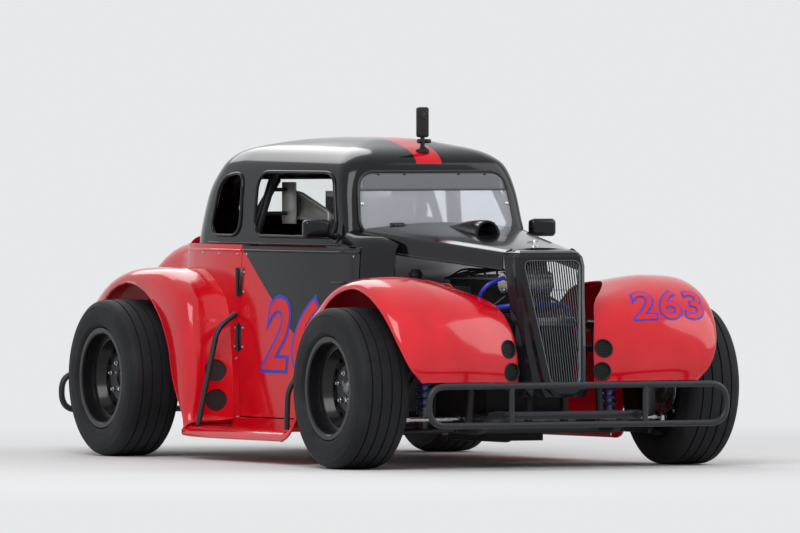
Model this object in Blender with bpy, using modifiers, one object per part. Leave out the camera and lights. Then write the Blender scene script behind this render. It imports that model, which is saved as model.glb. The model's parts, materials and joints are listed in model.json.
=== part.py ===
"""Legends race car: a 5/8-scale fibreglass 1934 coupe body on a tube frame.

Metres, +Z up, the nose toward -Y and the car's left toward +X. Places are
measured from the middle of the wheelbase at floor level, and CAR_SHIFT then
moves the whole car so that the middle of its length lies at the origin.
"""

import math

import bmesh
import bpy
from mathutils import Matrix, Vector

# Driving dimensions
WHEELBASE = 1.854
TRACK = 1.300
FRONT_OVERHANG = 0.486
REAR_OVERHANG = 0.859
ROOF_HEIGHT = 1.155
BELT_HEIGHT = 0.769
SILL_HEIGHT = 0.120

# Clearances
TOUCH = 0.0003
BEARING = 0.0005
SHUT_GAP = 0.005
OVERRUN = 0.05
CUT_LENGTH = 2.0

# Wheels
TYRE_RADIUS = 0.2825
TYRE_WIDTH = 0.205
BEAD_WIDTH = 0.171
SEAT_RADIUS = 0.165
FLANGE_RADIUS = 0.1825
FLANGE_THICKNESS = 0.007
RIM_WALL = 0.005
RIM_BORE = 0.028
RIM_DISC_X = 0.002
RIM_DISC_THICKNESS = 0.008
TYRE_STEPS = 24
RIM_STEPS = 24
HUB_STEPS = 12

# Panels
SKIN = 0.006
DOOR_THICKNESS = 0.018
GLASS_THICKNESS = 0.004
TUBE_RADIUS = 0.016
BAR_RADIUS = 0.0115

FRONT_AXLE = -WHEELBASE / 2
REAR_AXLE = WHEELBASE / 2
CAR_SHIFT = (FRONT_OVERHANG - REAR_OVERHANG) / 2
WHEEL_X = TRACK / 2
SIDES = (("left", 1), ("right", -1))


def clear_scene():
    """Remove the startup objects and make the two collections."""
    for obj in list(bpy.data.objects):
        bpy.data.objects.remove(obj)
    car = bpy.data.collections.new("legends_race_car")
    tools = bpy.data.collections.new("cutters")
    bpy.context.scene.collection.children.link(car)
    bpy.context.scene.collection.children.link(tools)
    return car, tools


CAR, TOOLS = clear_scene()
ROOT = bpy.data.objects.new("car_frame", None)
ROOT.location = (0, CAR_SHIFT, 0)
CAR.objects.link(ROOT)


def material(name, colour, roughness, metallic=0.0):
    """Principled material with one flat colour."""
    mat = bpy.data.materials.new(name)
    mat.use_nodes = True
    shader = mat.node_tree.nodes["Principled BSDF"]
    shader.inputs["Base Color"].default_value = (*colour, 1.0)
    shader.inputs["Roughness"].default_value = roughness
    shader.inputs["Metallic"].default_value = metallic
    mat.diffuse_color = (*colour, 1.0)
    return mat


RED = material("red_paint", (0.75, 0.01, 0.02), 0.2)
BLACK = material("black_paint", (0.01, 0.01, 0.012), 0.15)
FRAME_BLACK = material("frame_black", (0.03, 0.03, 0.03), 0.45)
RUBBER = material("tyre_rubber", (0.03, 0.03, 0.032), 0.8)
RIM_BLACK = material("rim_black", (0.02, 0.02, 0.022), 0.3, 0.5)
ALLOY = material("bare_alloy", (0.7, 0.7, 0.72), 0.35, 1.0)
STEEL = material("bare_steel", (0.45, 0.45, 0.46), 0.4, 1.0)
GLASS = material("clear_glass", (0.8, 0.85, 0.9), 0.05)
PLASTIC = material("black_plastic", (0.02, 0.02, 0.02), 0.5)
BLUE = material("blue_spring", (0.02, 0.05, 0.6), 0.4)


def object_of(bm, name="piece"):
    """Object in the tools' collection that holds a bmesh, faces outward."""
    bmesh.ops.recalc_face_normals(bm, faces=bm.faces)
    mesh = bpy.data.meshes.new(name)
    bm.to_mesh(mesh)
    bm.free()
    obj = bpy.data.objects.new(name, mesh)
    obj.hide_render = True
    obj.display_type = "WIRE"
    TOOLS.objects.link(obj)
    return obj


def evaluated_mesh(obj):
    """The mesh that an object's modifiers or curve make."""
    bpy.context.view_layer.update()
    graph = bpy.context.evaluated_depsgraph_get()
    return bpy.data.meshes.new_from_object(obj.evaluated_get(graph))


def baked(obj):
    """Replace an object by a plain mesh object of what it makes."""
    mesh = evaluated_mesh(obj)
    mesh.transform(obj.matrix_world)
    bpy.data.objects.remove(obj)
    bm = bmesh.new()
    bm.from_mesh(mesh)
    bmesh.ops.remove_doubles(bm, verts=bm.verts, dist=1e-5)
    return object_of(bm)


def combine(target, operation, pieces):
    """Boolean the target with each of the pieces and bake the result."""
    for piece in pieces:
        step = target.modifiers.new("combine", "BOOLEAN")
        step.operation = operation
        step.object = piece
    result = baked(target)
    for piece in pieces:
        bpy.data.objects.remove(piece)
    return result


def cut(target, *cutters):
    return combine(target, "DIFFERENCE", cutters)


def joined(first, *others):
    return combine(first, "UNION", others)


def common(target, *cutters):
    return combine(target, "INTERSECT", cutters)


def mirrored(obj):
    """Copy of an object on the other side of the car."""
    bm = bmesh.new()
    bm.from_mesh(obj.data)
    bmesh.ops.scale(bm, vec=(-1, 1, 1), verts=bm.verts)
    return object_of(bm)


def part(name, obj, mat, pivot=None):
    """Turn a finished piece into a named node, its origin on its pivot."""
    obj.name = name
    obj.data.name = name
    if pivot:
        obj.data.transform(Matrix.Translation(-Vector(pivot)))
        obj.location = pivot
    obj.data.materials.clear()
    obj.data.materials.append(mat)
    obj.data.shade_smooth()
    obj.data.set_sharp_from_angle(angle=math.radians(35))
    obj.hide_render = False
    obj.display_type = "TEXTURED"
    TOOLS.objects.unlink(obj)
    CAR.objects.link(obj)
    obj.parent = ROOT
    return obj


def pair(name, build, mat, pivot=None):
    """Left piece from a builder and its mirror image on the right."""
    left = build()
    right = mirrored(left)
    part(name + "_left", left, mat, pivot)
    part(name + "_right", right, mat, pivot and (-pivot[0], pivot[1], pivot[2]))


def box(low, high):
    """Block between two corners."""
    bm = bmesh.new()
    bmesh.ops.create_cube(bm, size=1)
    low, high = Vector(low), Vector(high)
    bmesh.ops.scale(bm, vec=high - low, verts=bm.verts)
    bmesh.ops.translate(bm, vec=(high + low) / 2, verts=bm.verts)
    return object_of(bm)


def rod(start, end, radius, sides=6, end_radius=None):
    """Round bar, or a cone, between two points."""
    start, end = Vector(start), Vector(end)
    along = end - start
    turn = along.to_track_quat("Z", "Y").to_matrix().to_4x4()
    place = Matrix.Translation((start + end) / 2) @ turn
    bm = bmesh.new()
    bmesh.ops.create_cone(
        bm,
        cap_ends=True,
        segments=sides,
        radius1=radius,
        radius2=radius if end_radius is None else end_radius,
        depth=along.length,
        matrix=place,
    )
    return object_of(bm)


def turned(profile, centre, steps, axis="X"):
    """Solid of revolution: a closed profile of (along, radius) pairs."""
    bm = bmesh.new()
    corners = [bm.verts.new((radius, 0, along)) for along, radius in profile]
    for index, corner in enumerate(corners):
        bm.edges.new((corner, corners[(index + 1) % len(corners)]))
    obj = object_of(bm)
    screw = obj.modifiers.new("turn", "SCREW")
    screw.steps = steps
    screw.render_steps = steps
    screw.use_merge_vertices = True
    screw.merge_threshold = 0.00005
    turn = {"X": Matrix.Rotation(math.pi / 2, 4, "Y"), "Z": Matrix.Identity(4)}
    obj.matrix_world = Matrix.Translation(centre) @ turn[axis]
    return baked(obj)


def tube(points, radius, closed=False, bend=0.0, sides_step=1):
    """Round tube along points, with each bend rounded by short steps."""
    path = rounded(points, bend, closed) if bend else points
    curve = bpy.data.curves.new("tube", "CURVE")
    curve.dimensions = "3D"
    curve.bevel_depth = radius
    curve.bevel_resolution = sides_step
    curve.use_fill_caps = True
    spline = curve.splines.new("POLY")
    spline.points.add(len(path) - 1)
    for point, place in zip(spline.points, path):
        point.co = (*place, 1)
    spline.use_cyclic_u = closed
    obj = bpy.data.objects.new("tube", curve)
    TOOLS.objects.link(obj)
    return baked(obj)


def rounded(points, bend, closed=False, steps=2):
    """The points with each corner replaced by a short curve."""
    points = [Vector(point) for point in points]
    count = len(points)
    path = []
    for index, corner in enumerate(points):
        if not closed and index in (0, count - 1):
            path.append(corner)
            continue
        before = points[index - 1] - corner
        after = points[(index + 1) % count] - corner
        reach = min(bend, before.length / 2.1, after.length / 2.1)
        first = corner + before.normalized() * reach
        last = corner + after.normalized() * reach
        for step in range(steps + 1):
            share = step / steps
            near = first.lerp(corner, share)
            path.append(near.lerp(corner.lerp(last, share), share))
    return path


def loft(sections, closed=False, caps=False):
    """Surface through sections that all have the same number of points."""
    bm = bmesh.new()
    rows = [[bm.verts.new(point) for point in section] for section in sections]
    for first, second in zip(rows, rows[1:]):
        count = len(first)
        for index in range(count if closed else count - 1):
            after = (index + 1) % count
            near, far = first[index], first[after]
            if index < count / 2 - 0.5:
                bm.faces.new((near, far, second[after]))
                bm.faces.new((near, second[after], second[index]))
            else:
                bm.faces.new((near, far, second[index]))
                bm.faces.new((far, second[after], second[index]))
    if caps:
        bm.faces.new(rows[0])
        bm.faces.new(rows[-1])
    return object_of(bm)


def shell(surface, thickness, inside):
    """Solid skin under an open surface, its outer face kept in place."""
    bm = bmesh.new()
    bm.from_mesh(surface.data)
    bmesh.ops.recalc_face_normals(bm, faces=bm.faces)
    inside = Vector(inside)
    outward = sum(f.normal.dot(f.calc_center_median() - inside) for f in bm.faces)
    if outward < 0:
        bmesh.ops.reverse_faces(bm, faces=bm.faces)
    bm.to_mesh(surface.data)
    bm.free()
    skin = surface.modifiers.new("skin", "SOLIDIFY")
    skin.thickness = thickness
    skin.offset = -1
    skin.use_even_offset = True
    skin.use_quality_normals = True
    return baked(surface)


def prism(outline, axis, low, high):
    """Flat outline pushed along X or Y. Outline pairs are the other axes."""
    bm = bmesh.new()
    order = {
        "X": lambda a, b, c: (c, a, b),
        "Y": lambda a, b, c: (a, c, b),
        "Z": lambda a, b, c: (a, b, c),
    }
    ends = [[bm.verts.new(order[axis](a, b, end)) for a, b in outline] for end in (low, high)]
    bm.faces.new(ends[0])
    bm.faces.new(ends[1])
    for index in range(len(outline)):
        after = (index + 1) % len(outline)
        bm.faces.new((ends[0][index], ends[0][after], ends[1][after], ends[1][index]))
    return object_of(bm)


def round_outline(corners, radius, steps=4):
    """Outline whose corners are rounded off."""
    flat = [(a, b, 0) for a, b in corners]
    return [(point.x, point.y) for point in rounded(flat, radius, True, steps)]


# Wheels and hubs
HUB_RADIUS = 0.045
HUB_LENGTH = 0.085
CAP_RADIUS = 0.020
CAP_LENGTH = 0.016
DISC_RADIUS = 0.105
DISC_THICKNESS = 0.010
DISC_INSET = 0.012
SPINDLE_RADIUS = 0.016
AXLE_STUB_RADIUS = 0.024


def wheel(name, x, y):
    """Tyre and rim of one wheel, outboard side away from the car's middle."""
    side = 1 if x > 0 else -1
    centre = (x, y, TYRE_RADIUS)
    half = TYRE_WIDTH / 2
    bead = BEAD_WIDTH / 2
    wall = FLANGE_RADIUS - SEAT_RADIUS
    depth = TYRE_RADIUS - FLANGE_RADIUS
    facet = 1 / math.cos(math.pi / TYRE_STEPS)
    right_half = [
        (bead - TOUCH, SEAT_RADIUS * facet + TOUCH),
        (bead - TOUCH, FLANGE_RADIUS * facet + TOUCH),
        (half * 0.985, FLANGE_RADIUS + depth * 0.20),
        (half, FLANGE_RADIUS + depth * 0.50),
        (half * 0.91, FLANGE_RADIUS + depth * 0.84),
        (half * 0.74, TYRE_RADIUS - depth * 0.015),
        (half * 0.30, TYRE_RADIUS),
    ]
    outline = right_half + [(-along, radius) for along, radius in reversed(right_half)]
    part("tyre_" + name, turned(outline, centre, TYRE_STEPS), RUBBER, centre)

    lip = bead + FLANGE_THICKNESS
    well = SEAT_RADIUS - RIM_WALL
    face = RIM_DISC_X + RIM_DISC_THICKNESS
    rim = [
        (lip, FLANGE_RADIUS),
        (bead, FLANGE_RADIUS),
        (bead, SEAT_RADIUS),
        (-bead, SEAT_RADIUS),
        (-bead, FLANGE_RADIUS),
        (-lip, FLANGE_RADIUS),
        (-lip, well),
        (RIM_DISC_X - RIM_WALL, well),
        (RIM_DISC_X, well * 0.76),
        (RIM_DISC_X, RIM_BORE),
        (face, RIM_BORE),
        (face, well * 0.78),
        (bead * 0.50, well * 0.88),
        (bead * 0.56, well),
        (lip, well),
    ]
    rim = [(side * along, radius) for along, radius in rim]
    part("rim_" + name, turned(rim, centre, RIM_STEPS), RIM_BLACK, centre)


def front_hub():
    """Left front hub with its brake disc and dust cap."""
    start = -HUB_LENGTH
    face = RIM_DISC_X - TOUCH
    pilot = RIM_BORE * math.cos(math.pi / RIM_STEPS) - TOUCH
    cap = RIM_DISC_X + RIM_DISC_THICKNESS + CAP_LENGTH
    disc = start + DISC_INSET
    profile = [
        (start, SPINDLE_RADIUS + BEARING),
        (face, SPINDLE_RADIUS + BEARING),
        (face, 0),
        (cap, 0),
        (cap - CAP_RADIUS * 0.25, CAP_RADIUS * 0.75),
        (cap - CAP_RADIUS * 0.7, CAP_RADIUS),
        (RIM_DISC_X + RIM_DISC_THICKNESS, CAP_RADIUS),
        (RIM_DISC_X + RIM_DISC_THICKNESS, pilot),
        (face, pilot),
        (face, HUB_RADIUS),
        (disc + DISC_THICKNESS, HUB_RADIUS),
        (disc + DISC_THICKNESS, DISC_RADIUS),
        (disc, DISC_RADIUS),
        (disc, HUB_RADIUS),
        (start, HUB_RADIUS),
    ]
    return turned(profile, (WHEEL_X, FRONT_AXLE, TYRE_RADIUS), HUB_STEPS)


# Front suspension and steering
KINGPIN_INSET = 0.125
KINGPIN_X = WHEEL_X - KINGPIN_INSET
UPRIGHT_DEPTH = 0.045
UPRIGHT_WIDTH = 0.030
LOWER_BALL_Z = 0.135
UPPER_BALL_Z = 0.415
STEER_ARM_Y = FRONT_AXLE - 0.105
STEER_ARM_Z = 0.150
ARM_THICKNESS = 0.012
TIE_ROD_RADIUS = 0.008
RACK_Z = 0.172
RACK_RADIUS = 0.011
RACK_HALF = 0.170
TIE_EYE_RADIUS = 0.014
COIL_X = 0.365
COIL_RADIUS = 0.030
SHOCK_RADIUS = 0.016
REAR_COIL_X = 0.330
TOWER_Z = 0.500


def knuckle():
    """Left upright with its spindle and its steering arm."""
    half = UPRIGHT_DEPTH / 2
    plate = box(
        (KINGPIN_X - UPRIGHT_WIDTH / 2, FRONT_AXLE - half, LOWER_BALL_Z),
        (KINGPIN_X + UPRIGHT_WIDTH / 2, FRONT_AXLE + half, UPPER_BALL_Z),
    )
    spindle = rod(
        (KINGPIN_X, FRONT_AXLE, TYRE_RADIUS),
        (WHEEL_X + RIM_DISC_X - 0.004, FRONT_AXLE, TYRE_RADIUS),
        SPINDLE_RADIUS,
    )
    arm = box(
        (KINGPIN_X - 0.014, STEER_ARM_Y - 0.012, STEER_ARM_Z - ARM_THICKNESS / 2),
        (KINGPIN_X + 0.010, FRONT_AXLE, STEER_ARM_Z + ARM_THICKNESS / 2),
    )
    return joined(plate, spindle, arm)


def wishbone(ball_z, pivot_x, pivot_z, ball_gap):
    """Left A-arm: two legs from the frame to one ball joint boss."""
    ball = (KINGPIN_X, FRONT_AXLE, ball_z + ball_gap)
    spread = 0.11
    legs = [
        rod((pivot_x, FRONT_AXLE + end * spread, pivot_z), ball, 0.010)
        for end in (-1, 1)
    ]
    boss = rod(
        (KINGPIN_X, FRONT_AXLE, ball_z + ball_gap - 0.012),
        (KINGPIN_X, FRONT_AXLE, ball_z + ball_gap + 0.012),
        0.018,
    )
    return joined(boss, *legs)


def lower_arm():
    """Left lower arm with the seat that carries the coilover."""
    arm = wishbone(LOWER_BALL_Z, FRAME_RAIL_X + TUBE_RADIUS + ARM_CLEAR, FRAME_RAIL_Z, -0.0125)
    seat = box(
        (COIL_X - 0.028, FRONT_AXLE - 0.075, LOWER_BALL_Z - 0.012),
        (COIL_X + 0.028, FRONT_AXLE + 0.075, LOWER_BALL_Z - 0.004),
    )
    return joined(arm, seat)


def upper_arm():
    return wishbone(UPPER_BALL_Z, UPPER_RAIL_X + TUBE_RADIUS * 0.8 + ARM_CLEAR, UPPER_BALL_Z, 0.0125)


def coilover(x, y, low, high):
    """Upright damper inside its spring sleeve."""
    length = high - low
    profile = [
        (0, 0),
        (0, SHOCK_RADIUS),
        (length * 0.18, SHOCK_RADIUS),
        (length * 0.18, COIL_RADIUS),
        (length * 0.82, COIL_RADIUS),
        (length * 0.82, SHOCK_RADIUS),
        (length, SHOCK_RADIUS),
        (length, 0),
    ]
    return turned(profile, (x, y, low), 16, "Z")


def steering_rack():
    """Fixed housing that the rack bar slides in."""
    housing = rod(
        (-RACK_HALF, STEER_ARM_Y, RACK_Z), (RACK_HALF, STEER_ARM_Y, RACK_Z), 0.024, 16
    )
    bore = rod(
        (-RACK_HALF - OVERRUN, STEER_ARM_Y, RACK_Z),
        (RACK_HALF + OVERRUN, STEER_ARM_Y, RACK_Z),
        RACK_RADIUS + BEARING * 2,
        16,
    )
    feet = [
        box(
            (side * RACK_HALF * 0.8 - 0.02, STEER_ARM_Y - 0.02, FRAME_RAIL_Z - 0.012),
            (side * RACK_HALF * 0.8 + 0.02, STEER_ARM_Y + 0.02, RACK_Z),
        )
        for _, side in SIDES
    ]
    return cut(joined(housing, *feet), bore)


def rack_bar():
    """Rack and both tie rods, which slide together across the car."""
    bar = rod(
        (-KINGPIN_X, STEER_ARM_Y, RACK_Z), (KINGPIN_X, STEER_ARM_Y, RACK_Z), RACK_RADIUS * 0.9
    )
    low = STEER_ARM_Z + ARM_THICKNESS / 2 + BEARING
    eyes = [
        rod(
            (side * KINGPIN_X, STEER_ARM_Y, low),
            (side * KINGPIN_X, STEER_ARM_Y, low + 0.030),
            TIE_EYE_RADIUS,
        )
        for _, side in SIDES
    ]
    return joined(bar, *eyes)


# Rear axle
AXLE_RADIUS = 0.032
DIFF_RADIUS = 0.095
LINK_RADIUS = 0.012


def rear_axle():
    """Live axle: both tubes, the differential and the hub stubs."""
    end = WHEEL_X + RIM_DISC_X + RIM_DISC_THICKNESS
    tube_end = WHEEL_X + RIM_DISC_X - 0.006
    centre = (0, REAR_AXLE, TYRE_RADIUS)
    profile = [
        (-end, 0),
        (-end, AXLE_STUB_RADIUS),
        (-tube_end, AXLE_STUB_RADIUS),
        (-tube_end, AXLE_RADIUS * 1.4),
        (-tube_end + 0.03, AXLE_RADIUS * 1.4),
        (-tube_end + 0.03, AXLE_RADIUS),
        (-DIFF_RADIUS, AXLE_RADIUS),
        (-DIFF_RADIUS * 0.6, DIFF_RADIUS),
    ]
    profile += [(-along, radius) for along, radius in reversed(profile)]
    axle = turned(profile, centre, 14)
    nose = rod((0, REAR_AXLE - 0.16, TYRE_RADIUS), (0, REAR_AXLE, TYRE_RADIUS), 0.05)
    pads = [
        box(
            (side * REAR_COIL_X - 0.022, REAR_AXLE, TYRE_RADIUS - 0.05),
            (side * REAR_COIL_X + 0.022, REAR_AXLE + 0.085, TYRE_RADIUS - 0.03),
        )
        for _, side in SIDES
    ]
    webs = [
        box(
            (side * REAR_COIL_X - 0.022, REAR_AXLE - 0.01, TYRE_RADIUS - 0.05),
            (side * REAR_COIL_X + 0.022, REAR_AXLE + 0.01, TYRE_RADIUS),
        )
        for _, side in SIDES
    ]
    return joined(axle, nose, *pads, *webs)


def trailing_arm():
    """Left link from the frame rail to the rear axle."""
    return rod(
        (TRAIL_X, SIDE_REAR + TUBE_RADIUS + 0.004, FRAME_RAIL_Z),
        (TRAIL_X, REAR_AXLE - AXLE_RADIUS - 0.004, TYRE_RADIUS - 0.010),
        LINK_RADIUS,
    )


# Frame
FRAME_RAIL_X = 0.262
FRAME_TOP_X = 0.235
UPPER_RAIL_X = 0.241
ARM_CLEAR = 0.0045
FRAME_RAIL_Z = 0.135
FRAME_FRONT = -1.375
FRAME_REAR = 1.300
FRAME_KICK_Z = 0.500
TRAIL_X = 0.300
SIDE_RAIL_X = 0.385
SIDE_FRONT = -0.44
SIDE_REAR = 0.62
CAGE_FOOT_X = 0.335
CAGE_KNEE_Y = -0.300
CAGE_FOOT_Y = -0.378
HOOP_Y = 0.400
DOOR_BAR_HEIGHTS = (0.300, 0.460, 0.620)
DOOR_BAR_FRONT = -0.355
BROW_Y = -0.170
BROW_DROP = 0.135
HOOP_DROP = 0.085
STAY_DROP = 0.155
DASH_BAR_DROP = 0.069
BROW_X = 0.275
HOOP_TOP_X = 0.285
STAY_TOP_X = 0.290
STAY_REACH = 0.220
DASH_BAR_Y = -0.310


def chassis_frame():
    """Welded tube frame: rails, cross tubes, shock towers and the kick-up."""
    rise = REAR_AXLE - 0.26
    top = FRAME_KICK_Z
    tubes = []
    for _, side in SIDES:
        rail = [
            (side * FRAME_RAIL_X, FRAME_FRONT + 0.02, 0.19),
            (side * FRAME_RAIL_X, FRAME_FRONT + 0.12, 0.19),
            (side * FRAME_RAIL_X, FRAME_FRONT + 0.20, FRAME_RAIL_Z),
            (side * FRAME_RAIL_X, rise - 0.04, FRAME_RAIL_Z),
            (side * FRAME_RAIL_X, rise + 0.10, top),
            (side * FRAME_RAIL_X, FRAME_REAR, top),
        ]
        tubes.append(tube(rail, TUBE_RADIUS, bend=0.04))
        tubes.append(
            tube(
                [
                    (side * FRAME_RAIL_X, SIDE_FRONT, FRAME_RAIL_Z),
                    (side * CAGE_FOOT_X, CAGE_FOOT_Y, FRAME_RAIL_Z),
                    (side * SIDE_RAIL_X, 0.10, FRAME_RAIL_Z),
                    (side * SIDE_RAIL_X, SIDE_REAR - 0.04, FRAME_RAIL_Z),
                    (side * FRAME_RAIL_X, SIDE_REAR, FRAME_RAIL_Z),
                ],
                TUBE_RADIUS * 0.97,
                bend=0.05,
            )
        )
        for y in (FRONT_AXLE - 0.14, FRONT_AXLE + 0.14):
            tubes.append(
                rod(
                    (side * FRAME_RAIL_X, y, FRAME_RAIL_Z),
                    (side * FRAME_TOP_X, y, TOWER_Z),
                    TUBE_RADIUS * 0.85,
                )
            )
        tubes.append(
            tube(
                [
                    (side * FRAME_TOP_X, FRONT_AXLE - 0.16, TOWER_Z),
                    (side * FRAME_TOP_X, FRONT_AXLE + 0.14, TOWER_Z),
                    (side * (FRAME_RAIL_X + 0.02), SIDE_FRONT, FRAME_RAIL_Z),
                ],
                TUBE_RADIUS * 0.9,
                bend=0.04,
            )
        )
        tubes.append(
            rod(
                (side * UPPER_RAIL_X, FRONT_AXLE - 0.15, UPPER_BALL_Z),
                (side * UPPER_RAIL_X, FRONT_AXLE + 0.15, UPPER_BALL_Z),
                TUBE_RADIUS * 0.8,
            )
        )
        tubes.append(
            rod(
                (side * FRAME_RAIL_X, FRAME_REAR - 0.02, top),
                (side * FRAME_RAIL_X, FRAME_REAR - 0.02, 0.20),
                TUBE_RADIUS * 0.95,
            )
        )
        tubes.append(
            rod(
                (side * FRAME_TOP_X, FRONT_AXLE, TOWER_Z),
                (side * (COIL_X + 0.02), FRONT_AXLE, TOWER_Z),
                TUBE_RADIUS * 0.8,
            )
        )
    crossings = [
        (FRAME_FRONT + 0.05, 0.19, FRAME_RAIL_X),
        (FRONT_AXLE - 0.14, FRAME_RAIL_Z, FRAME_RAIL_X),
        (SIDE_FRONT, FRAME_RAIL_Z, FRAME_RAIL_X),
        (SIDE_REAR, FRAME_RAIL_Z, TRAIL_X + 0.012),
        (FRAME_REAR - 0.02, top, FRAME_RAIL_X),
        (REAR_AXLE + 0.07, top, REAR_COIL_X + 0.02),
    ]
    for y, z, half in crossings:
        tubes.append(rod((-half, y, z), (half, y, z), TUBE_RADIUS * 0.93))
    return joined(tubes[0], *tubes[1:])


def roll_cage():
    """Main hoop, front legs, roof bars, door bars and rear stays."""
    foot = FRAME_RAIL_Z + TUBE_RADIUS + TOUCH * 5
    roof = ROOF_HEIGHT - HOOP_DROP
    hoop = [
        (-SIDE_RAIL_X, HOOP_Y, foot),
        (-SIDE_RAIL_X, HOOP_Y, BELT_HEIGHT),
        (-HOOP_TOP_X, HOOP_Y, roof),
        (HOOP_TOP_X, HOOP_Y, roof),
        (SIDE_RAIL_X, HOOP_Y, BELT_HEIGHT),
        (SIDE_RAIL_X, HOOP_Y, foot),
    ]
    pieces = [tube(hoop, TUBE_RADIUS, bend=0.07)]
    brow_z = ROOF_HEIGHT - BROW_DROP
    for _, side in SIDES:
        leg = [
            (side * CAGE_FOOT_X, CAGE_FOOT_Y, foot),
            (side * CAGE_FOOT_X, CAGE_KNEE_Y, BELT_HEIGHT),
            (side * BROW_X, BROW_Y, brow_z),
            (side * BROW_X, HOOP_Y, roof),
        ]
        pieces.append(tube(leg, TUBE_RADIUS * 0.96, bend=0.06))
        for height in DOOR_BAR_HEIGHTS:
            start = (side * CAGE_FOOT_X, DOOR_BAR_FRONT, height)
            pieces.append(rod(start, (side * SIDE_RAIL_X, HOOP_Y, height), TUBE_RADIUS * 0.9))
        stay = [
            (side * STAY_TOP_X, HOOP_Y, ROOF_HEIGHT - STAY_DROP),
            (side * FRAME_RAIL_X, FRAME_REAR - STAY_REACH, FRAME_KICK_Z + TUBE_RADIUS * 1.95),
        ]
        pieces.append(rod(stay[0], stay[1], TUBE_RADIUS * 0.92))
    bar_z = BELT_HEIGHT - DASH_BAR_DROP
    cross_bars = (
        (BROW_Y, brow_z, BROW_X),
        (DASH_BAR_Y, bar_z, CAGE_FOOT_X),
        (HOOP_Y, bar_z, SIDE_RAIL_X),
    )
    for y, z, half in cross_bars:
        pieces.append(rod((-half, y, z), (half, y, z), TUBE_RADIUS * 0.88))
    return joined(pieces[0], *pieces[1:])


# Lower body
COWL_FRONT = -0.570
DOOR_FRONT = -0.424
DOOR_REAR = 0.365
DOOR_BOTTOM = 0.154
CAB_FRONT = -0.3105
CAB_REAR = 0.900
BODY_REACH = 0.600
AXLE_HOLE_RADIUS = 0.200
TAIL_BOTTOM = 0.280
BODY_CORNER = 0.060
LID_FRONT = 0.965
LID_REAR = 1.480
LID_HALF = 0.255
BODY_CENTRE = (0, 0.5, 0.3)
DOOR_HINGE = (0.462, DOOR_REAR + 0.010, 0.460)
LID_HINGE = (0, LID_FRONT - 0.007, BELT_HEIGHT + 0.021)

# Columns: station Y, half width at the belt, top above the belt, bottom
BODY_STATIONS = (
    (COWL_FRONT, 0.300, 0.031, SILL_HEIGHT),
    (DOOR_FRONT, 0.366, 0.046, SILL_HEIGHT),
    (CAB_FRONT, 0.385, 0.059, SILL_HEIGHT),
    (0.000, 0.418, 0.131, SILL_HEIGHT),
    (DOOR_REAR, 0.440, 0.131, SILL_HEIGHT),
    (0.620, 0.440, 0.131, SILL_HEIGHT),
    (0.860, 0.412, 0.131, 0.180),
    (CAB_REAR + 0.006, 0.404, 0.009, 0.200),
    (1.100, 0.392, -0.021, 0.240),
    (1.290, 0.374, -0.097, 0.265),
    (1.450, 0.352, -0.209, TAIL_BOTTOM),
    (1.570, 0.326, -0.349, TAIL_BOTTOM),
    (1.600, 0.310, -0.439, TAIL_BOTTOM),
)


def body_section(y, half, top, bottom, grow=0.0):
    """Arch across the car: up one side, over the top and down the other."""
    half, top = half + grow, BELT_HEIGHT + top + grow
    corner = min(BODY_CORNER, (top - bottom) * 0.45)
    lower = half + 0.018
    side = [(lower - 0.006, bottom), (lower, bottom + (top - bottom) * 0.35)]
    if grow:
        side.insert(0, (lower - 0.006, bottom - OVERRUN))
    arc = []
    for step in range(5):
        angle = math.radians(90 * step / 4)
        arc.append(
            (half - corner + corner * math.cos(angle), top - corner + corner * math.sin(angle))
        )
    crown = [(half * 0.5, top + 0.014)]
    right = side + arc + crown
    outline = right + [(0, top + 0.020)] + [(-x, z) for x, z in reversed(right)]
    return [(x, y, z) for x, z in outline]


def body_surface(grow=0.0, closed=False):
    sections = [body_section(*row, grow=grow) for row in BODY_STATIONS]
    return loft(sections, closed=closed, caps=closed)


def door_block(side, gap=0.0):
    """Space that a door fills, wider by the gap on every edge."""
    x = sorted((side * 0.30, side * 0.60))
    return box(
        (x[0], DOOR_FRONT - gap, DOOR_BOTTOM - gap),
        (x[1], DOOR_REAR + gap, BELT_HEIGHT - SHUT_GAP + gap),
    )


def lid_block(gap=0.0):
    return box((-LID_HALF - gap, LID_FRONT - gap, 0.40), (LID_HALF + gap, LID_REAR + gap, 0.90))


def hood_block(gap=0.0):
    """Space over the engine that the hood fills, seen from above."""
    outline = [
        (-HOOD_REAR_HALF - gap, HOOD_REAR + gap),
        (HOOD_REAR_HALF + gap, HOOD_REAR + gap),
        (HOOD_FRONT_HALF + gap, HOOD_FRONT - OVERRUN),
        (-HOOD_FRONT_HALF - gap, HOOD_FRONT - OVERRUN),
    ]
    return prism(outline, "Z", HOOD_STRIP_FRONT - OVERRUN, ROOF_HEIGHT)


def lower_body():
    """Cowl, body sides and rear deck, with the openings for what moves."""
    skin = shell(body_surface(), SKIN, BODY_CENTRE)
    open_top = box((-BODY_REACH, CAB_FRONT, BELT_HEIGHT - TOUCH), (BODY_REACH, CAB_REAR, ROOF_HEIGHT))
    door_gap = SHUT_GAP
    doors = [door_block(side, door_gap) for _, side in SIDES]
    axle_hole = rod(
        (-BODY_REACH, REAR_AXLE, TYRE_RADIUS), (BODY_REACH, REAR_AXLE, TYRE_RADIUS), AXLE_HOLE_RADIUS, 20
    )
    cowl_opening = hood_block(HOOD_SIDE_GAP)
    return cut(skin, open_top, cowl_opening, lid_block(SHUT_GAP), axle_hole, *doors)


def door():
    """Left door, cut from the body's own surface."""
    panel = shell(body_surface(), DOOR_THICKNESS, BODY_CENTRE)
    return common(panel, door_block(1))


def deck_lid():
    panel = shell(body_surface(), SKIN * 1.5, BODY_CENTRE)
    return common(panel, lid_block())


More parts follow.
